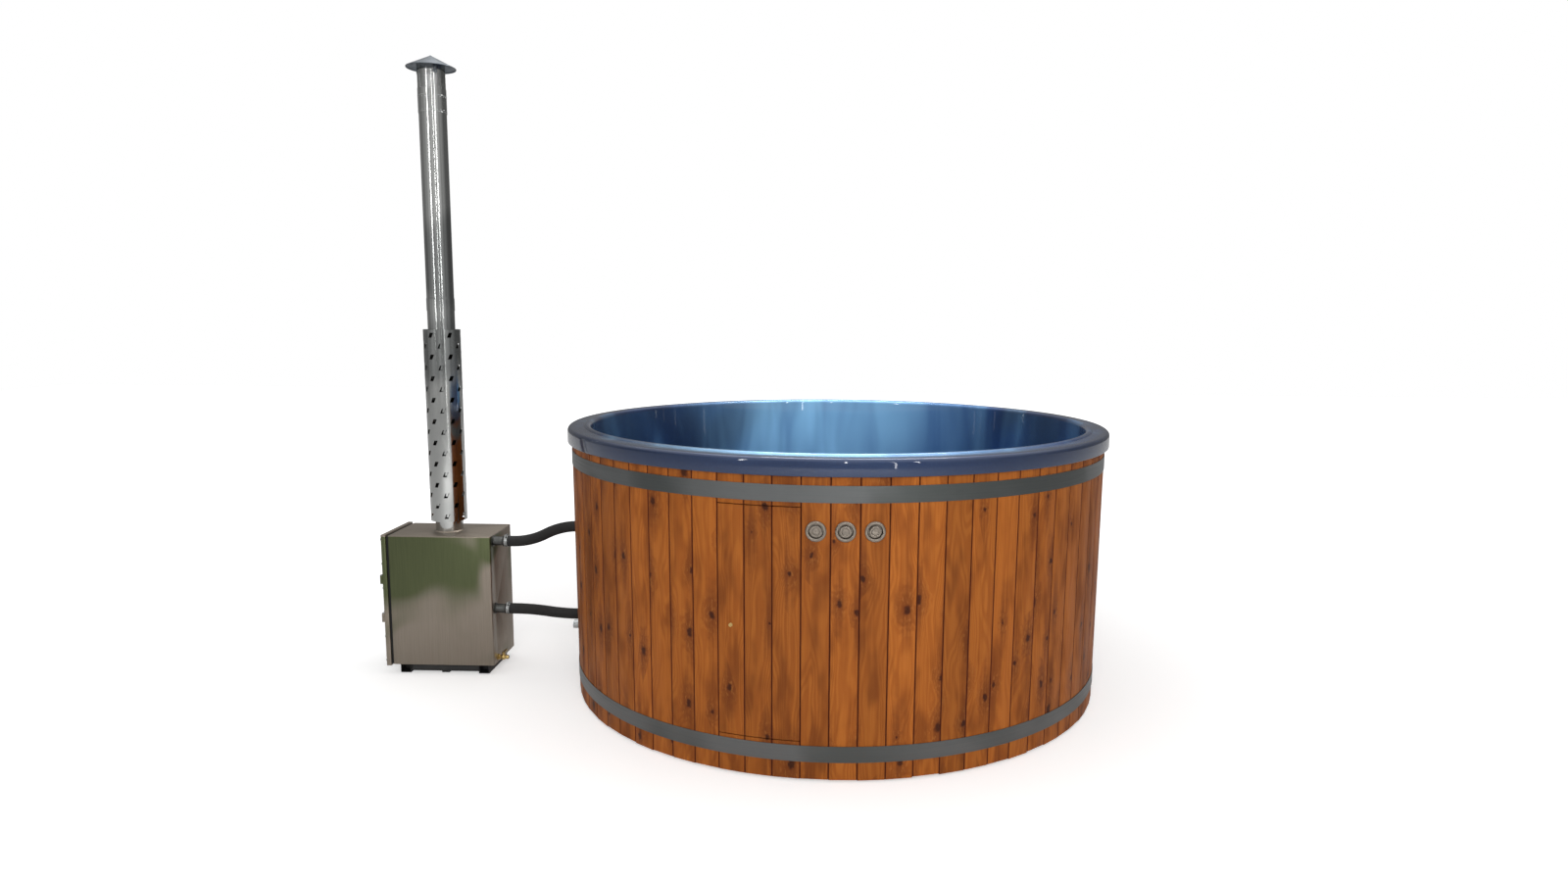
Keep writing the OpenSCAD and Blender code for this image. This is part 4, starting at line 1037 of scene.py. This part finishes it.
class HOTTUB_OT_stage(bpy.types.Operator):
    """Sets the camera, the white floor and the soft lamps"""

    bl_idname = "hottub.stage"
    bl_label = "Stage"

    def execute(self, context):
        look = context.scene.hot_tub_stage
        lens = bpy.data.cameras.new("photo_camera")
        lens.sensor_fit = "HORIZONTAL"
        lens.sensor_width = 36
        lens.lens = look.focal
        lens.shift_x = (PHOTO_WIDTH / 2 - LENS_CENTRE[0]) / PHOTO_WIDTH
        lens.shift_y = (LENS_CENTRE[1] - PHOTO_HEIGHT / 2) / PHOTO_WIDTH
        lens.clip_end = 100
        camera = bpy.data.objects.new("photo_camera", lens)
        context.scene.collection.objects.link(camera)
        level = Vector((math.cos(look.yaw), -math.sin(look.yaw), 0))
        ahead = Vector((math.sin(look.yaw), math.cos(look.yaw), 0))
        forward = ahead * math.cos(look.pitch) - Vector((0, 0, math.sin(look.pitch)))
        above = ahead * math.sin(look.pitch) + Vector((0, 0, math.cos(look.pitch)))
        right = level * math.cos(look.roll) + above * math.sin(look.roll)
        up = above * math.cos(look.roll) - level * math.sin(look.roll)
        turned = Matrix((right, up, -forward)).transposed().to_4x4()
        camera.matrix_world = Matrix.Translation(CAMERA_PLACE) @ turned
        context.scene.camera = camera
        context.scene.view_settings.view_transform = "Standard"
        self.make_floor(look)
        self.make_world(context, look)
        far_wall = (0, 0.9, 0.85)
        for name, place, aim, width, height, watts, lights in (
            ("key_softbox", (0.2, -5.4, 2.1), (0, 0, 0.7), 3.0, 1.6, 140, "diffuse"),
            ("top_softbox", (0.0, 0.2, 4.6), (0, 0, 0), 4.4, 3.0, 55, "diffuse glossy"),
            ("strip_softbox", (1.6, -4.4, 1.7), (-1.5, 0, 1.4), 0.06, 3.0, 6, "diffuse glossy"),
            ("right_tube", (2.8, -5.0, 2.5), far_wall, 0.1, 2.4, 18, "glossy"),
            ("middle_tube", (0.3, -5.0, 2.5), far_wall, 0.07, 2.4, 12, "glossy"),
            ("left_tube", (-3.4, -5.0, 2.5), far_wall, 0.2, 2.4, 30, "glossy"),
            ("overhead_tube", (0.3, 1.2, 4.2), (0, -1, 0.9), 2.4, 0.28, 48, "glossy"),
        ):
            lamp = bpy.data.lights.new(name, "AREA")
            lamp.shape = "RECTANGLE"
            lamp.size = width
            lamp.size_y = height
            lamp.energy = watts
            stand = bpy.data.objects.new(name, lamp)
            context.scene.collection.objects.link(stand)
            stand.visible_diffuse = "diffuse" in lights
            stand.visible_glossy = "glossy" in lights
            towards = (Vector(aim) - Vector(place)).to_track_quat("-Z", "Y")
            stand.matrix_world = Matrix.Translation(place) @ towards.to_matrix().to_4x4()
        return {"FINISHED"}

    def make_floor(self, look):
        """A white floor that keeps the shadows and never looks grey."""
        material, tree, shader, place = new_finish("white_floor")
        feed(tree, shader, {
            "Base Color": look.backdrop[:], "Roughness": 0.9, "Emission Color": look.backdrop[:]
        })
        rays = node(tree, "LightPath", out=None)
        # far from the tub the lamps fade, and the floor's own glow takes over
        away = node(tree, "VectorMath LENGTH", place)
        glow = node(tree, "MapRange SMOOTHSTEP", away, 1.2, 4.5, 0.4, 0.95)
        seen = node(tree, "Math ADD", rays["Is Camera Ray"], rays["Is Transmission Ray"])
        plain = node(tree, "Math MULTIPLY", seen, glow)
        mirrored = node(tree, "Math MULTIPLY", rays["Is Glossy Ray"], 0.08)
        feed(tree, shader, {"Emission Strength": node(tree, "Math ADD", plain, mirrored)})
        floor = mesh_piece(
            "floor", lambda shape: bmesh.ops.create_grid(shape, x_segments=1, y_segments=1, size=14), material
        )
        floor.data.transform(Matrix.Translation((0, 0, -0.0005)))

    def make_world(self, context, look):
        """White where the camera looks, dimmer as a light, and a hall with a bright front in reflections."""
        world = bpy.data.worlds.new("studio")
        context.scene.world = world
        world.use_nodes = True
        tree = world.node_tree
        tree.nodes.clear()
        rays = node(tree, "LightPath", out=None)
        place = node(tree, "TexCoord", out="Generated")
        way = node(tree, "SeparateXYZ", place, out=None)
        front = node(tree, "MapRange SMOOTHSTEP", way[1], 0.35, -0.95, 0.24, 0.72)
        # a direction has no real size, so this only sets how wide the hall's drifts are
        walls = node(
            tree,
            "MapRange SMOOTHSTEP",
            mottled(tree, place, (555.6, 555.6, 3333), 1.0, 0.4),
            0.36,
            0.64,
            0.65,
            1.15,
        )
        above = node(tree, "MapRange SMOOTHSTEP", way[2], 0.35, 0.85, 0.0, 0.9)
        seen = node(tree, "Math ADD", node(tree, "Math MULTIPLY", front, walls), above)
        mirrored = node(tree, "Math MULTIPLY", rays["Is Glossy Ray"], seen)
        plain = node(tree, "Math SUBTRACT", 1.0, rays["Is Glossy Ray"])
        light = node(tree, "Math ADD", node(tree, "Math MULTIPLY", plain, 0.36), mirrored)
        clear = node(tree, "Math MAXIMUM", rays["Is Camera Ray"], rays["Is Transmission Ray"])
        strength = node(tree, "Math MAXIMUM", light, clear)
        sky = node(tree, "Background", at={"Color": look.backdrop[:], "Strength": strength})
        node(tree, "OutputWorld", at={"Surface": sky}, out=None)


class HOTTUB_OT_hoses(bpy.types.Operator):
    """Makes the two water hoses between the heater and the tub"""

    bl_idname = "hottub.hoses"
    bl_label = "Hoses"

    def execute(self, context):
        look = context.scene.hot_tub_hoses
        for hose_node, fitting in SPOUTS.items():
            low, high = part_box(hose_node)
            start_z = low.z + look.radius if hose_node == "upper_hose" else high.z - look.radius
            end_z = centre_of(fitting).z
            route = self.route(low.x, high.x, centre_of(hose_node).y, start_z, end_z)
            hose = self.tube(hose_node.replace("hose", "water_hose"), route, look)
            add_piece(hose, "tub", "hose_rubber", hose_node)
        return {"FINISHED"}

    def route(self, x0, x1, y, z0, z1):
        """Straight ends with two equal bends between them."""
        bend_0 = x0 + 40 * MM
        bend_1 = x1 - 45 * MM
        run = bend_1 - bend_0
        turn = 2 * math.atan(abs(z1 - z0) / run)
        radius = run / (2 * math.sin(turn))
        side = 1 if z1 > z0 else -1
        points = [(x0, z0), (x0 + 20 * MM, z0)]
        steps = 10
        for k in range(steps + 1):
            t = turn * k / steps
            points.append((bend_0 + radius * math.sin(t), z0 + side * radius * (1 - math.cos(t))))
        for k in range(steps - 1, -1, -1):
            t = turn * k / steps
            points.append((bend_1 - radius * math.sin(t), z1 - side * radius * (1 - math.cos(t))))
        points += [(x1 - 28 * MM, z1), (x1, z1)]
        return [Vector((x, y, z)) for x, z in points]

    def tube(self, name, route, look, sides=48):
        """A hose wall along the route, with rounded ends and its bore."""

        def build(shape):
            loops = []
            edge = 1.2 * MM
            inset = Vector((edge, 0, 0))
            outer = [route[0] + inset, *route[1:-1], route[-1] - inset]
            stations = [(route[0], look.radius - edge)] + [(p, look.radius) for p in outer]
            stations += [(route[-1], look.radius - edge)] + [(p, look.bore) for p in reversed(route)]
            for place, radius in stations:
                near = min(range(len(route)), key=lambda n: (route[n] - place).length)
                before = route[max(near - 1, 0)]
                after = route[min(near + 1, len(route) - 1)]
                ahead = (after - before).normalized()
                across = Vector((0, 1, 0))
                up = ahead.cross(across)
                turns = [2 * math.pi * k / sides for k in range(sides)]
                loops.append(
                    [shape.verts.new(place + radius * (math.cos(t) * across + math.sin(t) * up)) for t in turns]
                )
            for first, second in zip(loops, loops[1:] + loops[:1]):
                for k in range(sides):
                    m = (k + 1) % sides
                    shape.faces.new((first[k], first[m], second[m], second[k]))

        return smooth(mesh_piece(name, build, finish("rubber")))


class HOTTUB_OT_boards(bpy.types.Operator):
    """Makes the cladding boards and cuts the holes for buttons, hoses and drain"""

    bl_idname = "hottub.boards"
    bl_label = "Boards"

    def execute(self, context):
        look = context.scene.hot_tub_boards
        low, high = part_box("wall_boards")
        hatch_low, hatch_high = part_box("hatch_boards")
        gap = look.joint_gap
        beside = HATCH_FIRST + HATCH_COUNT
        rows = board_row("cladding", beside, look.count - HATCH_COUNT, low.z, high.z, look.uneven, False)
        rows += board_row("cladding", HATCH_FIRST, HATCH_COUNT, low.z, hatch_low.z - gap, 0.0)
        rows += board_row("cladding", HATCH_FIRST, HATCH_COUNT, hatch_high.z + gap, high.z, 0.0)
        boards = joined("cladding_boards", rows)
        drills = []
        for board in BUTTONS:
            drills.append(drill(22.3, -60, 20, on_board(board, centre_of(f"button_{board + 2}").z)))
        for fitting, radius in (("return_fitting", 21.7), ("suction_fitting", 21.7), ("drain_fitting", 17.5)):
            middle = centre_of(fitting)
            drills.append(drill(radius, -110, 60, along_x(-1.0, middle.y, middle.z)))
        cut(boards, joined("drills", drills))
        add_piece(smooth(boards, 40.0), "tub", "cladding_wood", "wall_boards")
        panel = board_row("hatch", HATCH_FIRST, HATCH_COUNT, hatch_low.z, hatch_high.z, 0.0, False)
        hatch = joined("hatch_panel", panel)
        add_piece(smooth(hatch, 40.0), "hatch", "cladding_wood", "hatch_boards")
        return {"FINISHED"}


class HOTTUB_OT_shell(bpy.types.Operator):
    """Makes the moulded shell in one skin from the rim to the floor"""

    bl_idname = "hottub.shell"
    bl_label = "Shell"

    def execute(self, context):
        look = context.scene.hot_tub_shell
        rim_low, rim_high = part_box("rim")
        well_low, well_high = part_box("foot_well")
        rim = rim_high.x / MM
        t = look.wall / MM
        bead = look.bead / MM
        corner = look.corner / MM
        fillet = look.fillet / MM
        nose = look.nose / MM
        wall = rim - look.rim_width / MM
        foot = wall - look.wall_lean / MM
        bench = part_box("shell")[0].z / MM + t
        well = well_high.x / MM - nose
        bead_z = rim_high.z / MM - bead
        top = bead_z + 10
        skirt = rim_low.z / MM
        floor = well_low.z / MM + t
        bead_at = (wall + bead, bead_z)
        corner_at = (rim - corner, top - corner)
        bench_at = (foot - fillet, bench + fillet)
        nose_at = (well + nose, bench - nose)
        well_at = (well - fillet, floor + fillet)
        wet = [(0, floor)] + arc(well_at, fillet, -90, 0, 8) + arc(nose_at, nose, 180, 90, 8)
        wet += arc(bench_at, fillet, -90, 0, 8) + arc(bead_at, bead, 180, 40, 18)
        wet += [(wall + 2 * bead - 1.5, top + 0.5), (wall + 2 * bead + 1.5, top)]
        wet += arc(corner_at, corner, 90, 0, 10) + arc((rim - 1.5, skirt + 1.5), 1.5, 0, -90, 3)
        dry = arc((rim - t + 1.5, skirt + 1.5), 1.5, -90, -180, 3) + arc(corner_at, corner - t, 0, 90, 6)
        dry += arc(bead_at, bead - t, 14.5, 180, 10) + arc(bench_at, fillet + t, 0, -90, 8)
        dry += arc(nose_at, nose - t, 90, 180, 6) + arc(well_at, fillet + t, 0, -90, 8) + [(0, floor - t)]
        shell = lathe("tub_shell", scaled(wet + dry), finish("gelcoat"), sides=256)
        pads = []
        drills = []
        for fitting, depth, pad, bore in (
            ("return_fitting", 24, 44, 17.1),
            ("suction_fitting", 27, 44, 17.1),
            ("drain_fitting", 37, 33, 16.1),
        ):
            middle = centre_of(fitting)
            face = along_x(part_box(fitting)[1].x - 5 * MM, middle.y, middle.z)
            seat = scaled([(0, -depth), (pad, -depth), (pad, -2), (pad - 2, 0), (0, 0)])
            pads.append(lathe("pad", seat, finish("gelcoat"), face, 64))
            drills.append(drill(bore, -90, 30, face, finish("gelcoat")))
        cut(shell, joined("pads", pads), "UNION")
        cut(shell, joined("drills", drills))
        add_piece(smooth(shell, 40.0), "tub", "shell_gelcoat", "shell", "rim", "foot_well")
        return {"FINISHED"}


class HOTTUB_OT_buttons(bpy.types.Operator):
    """Turns the three push buttons and their domed bezels"""

    bl_idname = "hottub.buttons"
    bl_label = "Buttons"

    def execute(self, context):
        rim = [(20.4, -29.9), (22.0, -29.9), (22.0, 0.1), (31.0, 0.1), (31.0, 0.8)]
        rim += [
            (30.4, 2.2), (29.2, 3.4), (27.6, 4.3), (25.8, 4.7), (24.0, 4.5), (22.4, 3.8), (21.2, 2.6),
            (20.5, 1.0),
        ]
        face = [(0, -38.9), (6.0, -38.9), (6.0, -6.0), (19.4, -6.0), (19.9, -5.6), (19.9, -4.9), (19.5, -4.6)]
        face += [(17.7, -4.6), (17.4, -4.3), (17.2, 1.4), (16.8, 2.5), (15.9, 3.1), (14.6, 3.2), (11.6, 2.9)]
        face += [(11.0, 2.6), (10.6, 1.9), (10.0, 1.7), (9.5, 2.0), (9.0, 2.5), (7.0, 2.6), (0, 2.5)]
        bezels = []
        for board, side in BUTTONS.items():
            place = on_board(board, centre_of(f"button_{board + 2}").z)
            bezels.append(lathe("bezel", scaled(rim), finish("chrome"), place))
            button = lathe(f"push_button_{side}", scaled(face), finish("chrome"), place)
            add_piece(button, f"button_{side}", "button_chrome", f"button_{board + 2}")
        add_piece(joined("domed_bezels", bezels), "tub", "button_chrome", "button_bezels")
        return {"FINISHED"}


class HOTTUB_OT_flue(bpy.types.Operator):
    """Makes the perforated heat shield, the spark mesh and the rain cap"""

    bl_idname = "hottub.flue"
    bl_label = "Flue"

    def execute(self, context):
        look = context.scene.hot_tub_flue
        centre, radius = axis_of("heat_shield")
        low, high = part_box("heat_shield")
        wide = 2 * math.pi * radius / look.holes
        tile = self.tile(wide, look.ring_step, (look.hole_width, look.hole_height, look.hole_skew), 12, 2)
        spare = (high.z - low.z - look.rings * look.ring_step) / 2
        start = SHIELD_SEAM - math.pi / look.holes
        self.tube("perforated_heat_shield", tile, look, look.holes, look.rings, look.ring_step, radius,
                  (centre.x, centre.y), low.z + spare, spare, start, "heat_shield")
        centre, radius = axis_of("spark_mesh")
        low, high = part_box("spark_mesh")
        slope = look.cap_rise / axis_of("rain_cap")[1]
        under_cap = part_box("rain_cap")[1].z - slope * radius - CAP_SEAT
        rows = int((under_cap - low.z - MESH_FOOT) / look.mesh_step)
        wide = 2 * math.pi * radius / look.mesh_holes
        tile = self.tile(wide, look.mesh_step, (wide * 0.6, look.mesh_step * 0.76, 0.0), 2, 1, round_hole=True)
        self.tube("spark_arrester_mesh", tile, look, look.mesh_holes, rows, look.mesh_step, radius,
                  (centre.x, centre.y), low.z + MESH_FOOT, 0.0, 0.0, "spark_mesh")
        self.cap(slope)
        self.sleeve_crimps(look)
        return {"FINISHED"}

    def cap(self, slope):
        """The rain cap: a spun cone with a rolled edge on three riveted straps."""
        centre, radius = axis_of("rain_cap")
        low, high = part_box("rain_cap")
        edge = radius / MM
        apex = high.z / MM
        bead = 1.8
        sheet = 1.4
        lean = math.atan(slope)
        place = Matrix.Translation((centre.x, centre.y, 0))

        def roof(r):
            return apex - slope * r

        bead_at = (edge - bead, roof(edge - bead) - bead / math.cos(lean))
        outline = [(0, apex), (2.4, apex - 0.2), (3.6, apex - 1.2), (3.9, roof(3.9))]
        outline += arc(bead_at, bead, 90 - math.degrees(lean), -190, 14)
        outline += [(edge - 4.2, roof(edge - 4.2) - sheet), (0, apex - 2.6)]
        cone = lathe("cap_cone", scaled(outline), finish("galvanised"), place, 128)
        inner = axis_of("spark_mesh")[1] / MM + 0.3
        outer = inner + sheet
        foot = low.z / MM
        reach = inner + 22
        bent = [
            (inner, foot),
            (outer, foot),
            (outer, roof(outer) - 2 * sheet - 0.1),
            (reach, roof(reach) - 2 * sheet),
        ]
        bent += [(reach, roof(reach) - sheet - 0.1), (inner, roof(inner) - sheet - 0.1)]
        strap = plate("strap", scaled(bent), 13 * MM, finish("galvanised"))
        heads = [rivet(2.6, 1.3, along_x(outer * MM, 0, (foot + up) * MM)) for up in (6, 17)]
        on_cone = Matrix.Translation((reach - 7, 0, roof(reach - 7)))
        on_cone.translation *= MM
        heads.append(rivet(2.8, 1.4, on_cone @ Matrix.Rotation(lean, 4, "Y")))
        first = math.radians(-52)
        straps = stood_round("straps", strap, finish("galvanised"), 3, 0.0, 0.0, first)
        rivets = stood_round("rivets", joined("heads", heads), finish("screw"), 3, 0.0, 0.0, first)
        for ring in (straps, rivets):
            ring.data.transform(place)
        add_piece(joined("rain_cap_on_straps", [cone, straps, rivets]), "tub", "flue_steel", "rain_cap")

    def sleeve_crimps(self, look):
        """Rows of crimp marks under the two beads of the cap's sleeve."""
        centre, radius = axis_of("cap_sleeve")
        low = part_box("cap_sleeve")[0]
        rows = []
        for up in (9.5, 56.5):
            dent = rivet(1.5, 0.8, Matrix.Diagonal((1, 2.2, 1, 1)) @ Matrix.Rotation(math.pi / 2, 4, "Y"))
            wall = radius - 0.9 * MM
            rows.append(stood_round("crimps", dent, finish("pipe"), look.crimps, wall, low.z + up * MM))
        marks = joined("sleeve_crimp_marks", rows)
        marks.data.transform(Matrix.Translation((centre.x, centre.y, 0)))
        add_piece(marks, "tub", "flue_steel")

    def tile(self, wide, tall, hole, steps, rings, round_hole=False):
        """A flat tile round its centre with one skewed hole."""
        width, height, skew = hole

        def outer(k, side):
            t = k / steps - 0.5
            return ((t * wide, -tall / 2), (wide / 2, (k / side_steps - 0.5) * tall),
                    (-t * wide, tall / 2), (-wide / 2, (0.5 - k / side_steps) * tall))[side]

        side_steps = max(1, steps // 3)

        def inner(k, side):
            t = k / steps - 0.5
            s = k / side_steps - 0.5
            return ((t * width - skew, -height / 2), (width / 2 + 2 * s * skew, s * height),
                    (-t * width + skew, height / 2), (-width / 2 - 2 * s * skew, -s * height))[side]

        def build(shape):
            frame_points = []
            hole_points = []
            for side in range(4):
                for k in range(steps if side % 2 == 0 else side_steps):
                    frame_points.append(outer(k, side))
                    hole_points.append(inner(k, side))
            if round_hole:
                turns = [math.atan2(p[1] / tall, p[0] / wide) for p in frame_points]
                hole_points = [(width / 2 * math.cos(t), height / 2 * math.sin(t)) for t in turns]
            loops = []
            for ring in range(rings + 1):
                t = (ring / rings) ** 0.8
                row = [Vector(a).lerp(Vector(b), t) for a, b in zip(frame_points, hole_points)]
                loops.append([shape.verts.new((*spot, 0)) for spot in row])
            for first, second in zip(loops, loops[1:]):
                for k in range(len(first)):
                    m = (k + 1) % len(first)
                    shape.faces.new((first[k], first[m], second[m], second[k]))

        return mesh_piece("tile", build)

    def tube(self, name, tile, look, columns, rows, step, radius, centre, base, margin, start, replaced):
        """Rolls tiles into a tube and gives the sheet its thickness inwards."""
        values = {
            "Tile": tile,
            "Finish": finish("pipe"),
            "Columns": columns,
            "Rows": rows,
            "Row step": step,
            "Radius": radius,
            "Base": base,
            "Margin": margin,
            "Start": start,
        }
        sheet = grown(name, shared_tree(perforated_tree), values)
        bpy.data.objects.remove(tile)
        sheet.data.transform(Matrix.Translation((*centre, 0)))
        thick = sheet.modifiers.new("Thickness", "SOLIDIFY")
        thick.thickness = look.sheet
        thick.offset = -1
        apply_modifiers(sheet)
        add_piece(rolled_shine(smooth(sheet, 50.0), centre), "tub", "flue_steel", replaced)


class HOTTUB_OT_fittings(bpy.types.Operator):
    """Makes the hose clamps, the door's latch grip and the hatch knob"""

    bl_idname = "hottub.fittings"
    bl_label = "Clamps and grips"

    def execute(self, context):
        self.clamps(context.scene.hot_tub_hoses)
        self.grip()
        turned = [
            (0, -8), (2.98, -8), (2.98, 0.05), (5.4, 0.05), (5.5, 1.0), (4.8, 1.6), (3.4, 2.2), (3.3, 2.9)
        ]
        turned += [(4.6, 3.7), (5.4, 4.6), (5.5, 5.2), (5.1, 5.8), (4.2, 6.0), (0, 6.0)]
        place = on_board(HATCH_FIRST, centre_of("hatch_knob").z)
        knob = lathe("turned_hatch_knob", scaled(turned), finish("brass"), place, 48)
        add_piece(knob, "hatch", "brass", "hatch_knob")
        return {"FINISHED"}

    def clamps(self, look):
        """Four worm-drive clamps, one near each end of a hose."""
        low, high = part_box("hose_clamps")
        stub_low, stub_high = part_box("heater_stubs")
        half = 7 * MM
        flange = 21 * MM
        near = low.x + half
        far = high.x - half
        spots = [(near, stub_high.z - flange), (near, stub_low.z + flange)]
        for fitting in SPOUTS.values():
            middle = centre_of(fitting)
            spots.append((far, middle.z))
        pattern = self.clamp(look.radius / MM)
        made = []
        for x, z in spots:
            copy = new_piece("clamp", pattern.data.copy())
            copy.data.transform(Matrix.Translation((x, middle.y, z)))
            made.append(copy)
        bpy.data.objects.remove(pattern)
        add_piece(joined("worm_drive_clamps", made), "tub", "clamp_zinc", "hose_clamps")

    def clamp(self, r):
        """One clamp round the X axis: band with thread slots, housing, screw and tail."""
        edge = [(r + 1.5, 5.0), (r + 1.7, 5.5), (r + 1.5, 6.0), (r + 0.05, 6.0)]
        outline = [(x, -z) for x, z in reversed(edge)] + [(r + 1.1, -4.6), (r + 1.1, 4.6)] + edge
        parts = [lathe("band", scaled(outline), finish("screw"), along_x(0, 0, 0), 64)]
        # painted shadow: the thread slots are flat black bars on the band, standing for the shade inside them
        slot = block("slot", (-0.15 * MM, -0.5 * MM, -3 * MM), (0.15 * MM, 0.5 * MM, 3 * MM), None)
        slots = stood_round("slots", slot, finish("slot"), 36, (r + 1.1) * MM, 0.0, 0.0, math.radians(14))
        slots.data.transform(along_x(0, 0, 0))
        parts.append(slots)
        screw_z = r + 3.4
        across = Matrix.Translation((0, 0, screw_z * MM)) @ Matrix.Rotation(-math.pi / 2, 4, "X")
        saddle = [(x * MM, y * MM, z * MM) for x, y, z in ((-7, -6.5, r + 0.8), (7, 6.5, r + 3.4))]
        parts.append(block("saddle", *saddle, finish("screw"), 0.5 * MM))
        parts.append(
            lathe(
                "housing",
                scaled([(0, -6.5), (3.2, -6.5), (3.6, -6.1), (3.6, 6.1), (3.2, 6.5), (0, 6.5)]),
                finish("screw"),
                across,
                32,
            ),
        )
        shank = [(0, -15.2), (4.6, -15.2), (4.6, -14.4), (2.4, -14.4), (2.4, 9.0), (2.0, 9.6), (0, 9.6)]
        parts.append(lathe("shank", scaled(shank), finish("screw"), across, 32))
        head = lathe(
            "head",
            scaled([(0, -19), (3.6, -19), (4.2, -18.4), (4.2, -15), (0, -15)]),
            finish("screw"),
            across,
            6,
        )
        groove = block(
            "groove",
            (-6 * MM, -20 * MM, (screw_z - 0.6) * MM),
            (6 * MM, -17.5 * MM, (screw_z + 0.6) * MM),
            finish("screw"),
        )
        parts.append(smooth(cut(head, groove)))
        tail = [(x * MM, y * MM, z * MM) for x, y, z in ((-5.6, 4, r + 0.9), (5.6, 16, r + 1.6))]
        parts.append(block("tail", *tail, finish("screw"), 0.2 * MM))
        return joined("clamp_pattern", parts)

    def grip(self):
        """The latch's turned wooden grip with its ferrule."""
        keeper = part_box("latch_keeper")[0]
        hub = Matrix.Translation((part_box("face_plate")[0].x, keeper.y - 35 * MM, centre_of("latch_keeper").z))
        place = hub @ Matrix.Rotation(math.radians(60), 4, "X") @ Matrix.Translation((-36 * MM, 0, 0))
        wood = [
            (0, -112.4), (3.6, -111.8), (6.6, -109.4), (8.3, -105.6), (8.5, -101), (8.2, -95), (7.5, -86),
            (7.1, -76),
        ]
        wood += [
            (7.2, -64), (7.8, -50), (8.3, -40), (8.2, -32), (7.6, -25), (6.9, -20), (6.7, -18.6), (4.02, -18.6)
        ]
        wood += [(4.02, -42.1), (0, -42.1)]
        turned = lathe("turned_grip", scaled(wood), finish("grip_wood"), place, 64)
        cuff = [(4.02, -18.5), (6.9, -18.5), (7.2, -17.9), (7.2, -13.2), (6.8, -12.4), (4.02, -12.4)]
        ferrule = lathe("ferrule", scaled(cuff), finish("screw"), place, 64)
        add_piece(joined("latch_grip_with_ferrule", [turned, ferrule]), "latch", "grip_wood", "latch_grip")


CAD_FINISHES = {
    "raw_timber_x": ("base_joists",),
    "raw_timber_y": ("base_runners",),
    "raw_timber_z": ("board_rings", "hatch_battens"),
    "plywood": ("floor_deck",),
    "band": ("bands", "band_clamps"),
    "fitting": ("air_nozzles", "return_fitting", "suction_fitting", "drain_fitting"),
    "black_plastic": ("button_bodies", "air_blower", "fitting_nuts", "hatch_catches"),
    "grey_plastic": ("control_box",),
    "white_plastic": ("air_pipe",),
    "red_plastic": ("drain_lever",),
    "zinc": ("drain_valve", "plate_bolts"),
    "brass": ("drain_cock", "cock_lever"),
    "black_paint": ("heater_base",),
    "sheet": ("heater_casing", "face_plate", "fire_door", "ash_drawer", "hinge_brackets"),
    "screw": ("hinge_pins", "latch_keeper", "door_latch", "air_damper"),
    "firebox": ("firebox", "door_baffle"),
    "gasket": ("heater_gasket",),
    "rope": ("door_rope",),
    "cast_iron": ("grate",),
    "pipe": ("flue_collar", "flue_lower", "flue_upper", "shield_spacers", "cap_sleeve"),
    "stub": ("heater_stubs",),
}


SOFT_EDGES = {
    "heater_casing": 0.8,
    "face_plate": 1.2,
    "fire_door": 0.8,
    "ash_drawer": 0.8,
    "heater_base": 1.5,
    "control_box": 3.0,
    "base_runners": 2.0,
    "base_joists": 1.5,
}


class HOTTUB_OT_finishes(bpy.types.Operator):
    """Gives the pieces that keep their built shape their finishes"""

    bl_idname = "hottub.finishes"
    bl_label = "Plain pieces' finishes"

    def execute(self, context):
        for look, names in CAD_FINISHES.items():
            paint(finish(look), *names)
        for name, width in SOFT_EDGES.items():
            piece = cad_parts[name]
            piece.data.shade_smooth()
            weld = piece.modifiers.new("Weld", "WELD")
            weld.merge_threshold = 0.01 * MM
            edge = piece.modifiers.new("Edges", "BEVEL")
            edge.width = width * MM
            edge.segments = 2
            edge.limit_method = "ANGLE"
            edge.angle_limit = math.radians(50)
            edge.harden_normals = True
        return {"FINISHED"}


class HOTTUB_PT_panel(bpy.types.Panel):
    """Lists the tub's groups of pieces"""

    bl_idname = "HOTTUB_PT_panel"
    bl_label = "Hot Tub"
    bl_space_type = "VIEW_3D"
    bl_region_type = "UI"
    bl_category = "Hot Tub"

    def draw(self, context):
        for operator in OPERATORS:
            self.layout.operator(operator.bl_idname)
        for name in SETTINGS:
            box = self.layout.box()
            group = getattr(context.scene, name)
            for key in group.bl_rna.properties.keys():
                if key not in ("rna_type", "name"):
                    box.prop(group, key)


SETTINGS = {
    "hot_tub_boards": HotTubBoards,
    "hot_tub_shell": HotTubShell,
    "hot_tub_flue": HotTubFlue,
    "hot_tub_metals": HotTubMetals,
    "hot_tub_hoses": HotTubHoses,
    "hot_tub_stage": HotTubStage,
}

OPERATORS = (
    HOTTUB_OT_stage,
    HOTTUB_OT_hoses,
    HOTTUB_OT_finishes,
    HOTTUB_OT_boards,
    HOTTUB_OT_shell,
    HOTTUB_OT_buttons,
    HOTTUB_OT_flue,
    HOTTUB_OT_fittings,
)


def register():
    """Adds the settings, the operators and the panel."""
    for name, group in SETTINGS.items():
        bpy.utils.register_class(group)
        setattr(bpy.types.Scene, name, PointerProperty(type=group))
    for kind in (*OPERATORS, HOTTUB_PT_panel):
        bpy.utils.register_class(kind)


def unregister():
    """Takes them away again."""
    for kind in (HOTTUB_PT_panel, *reversed(OPERATORS)):
        bpy.utils.unregister_class(kind)
    for name, group in reversed(SETTINGS.items()):
        delattr(bpy.types.Scene, name)
        bpy.utils.unregister_class(group)


def main():
    """Builds the tub."""
    register()
    for operator in OPERATORS:
        group, name = operator.bl_idname.split(".")
        getattr(getattr(bpy.ops, group), name)()
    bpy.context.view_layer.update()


if __name__ == "__main__":
    main()
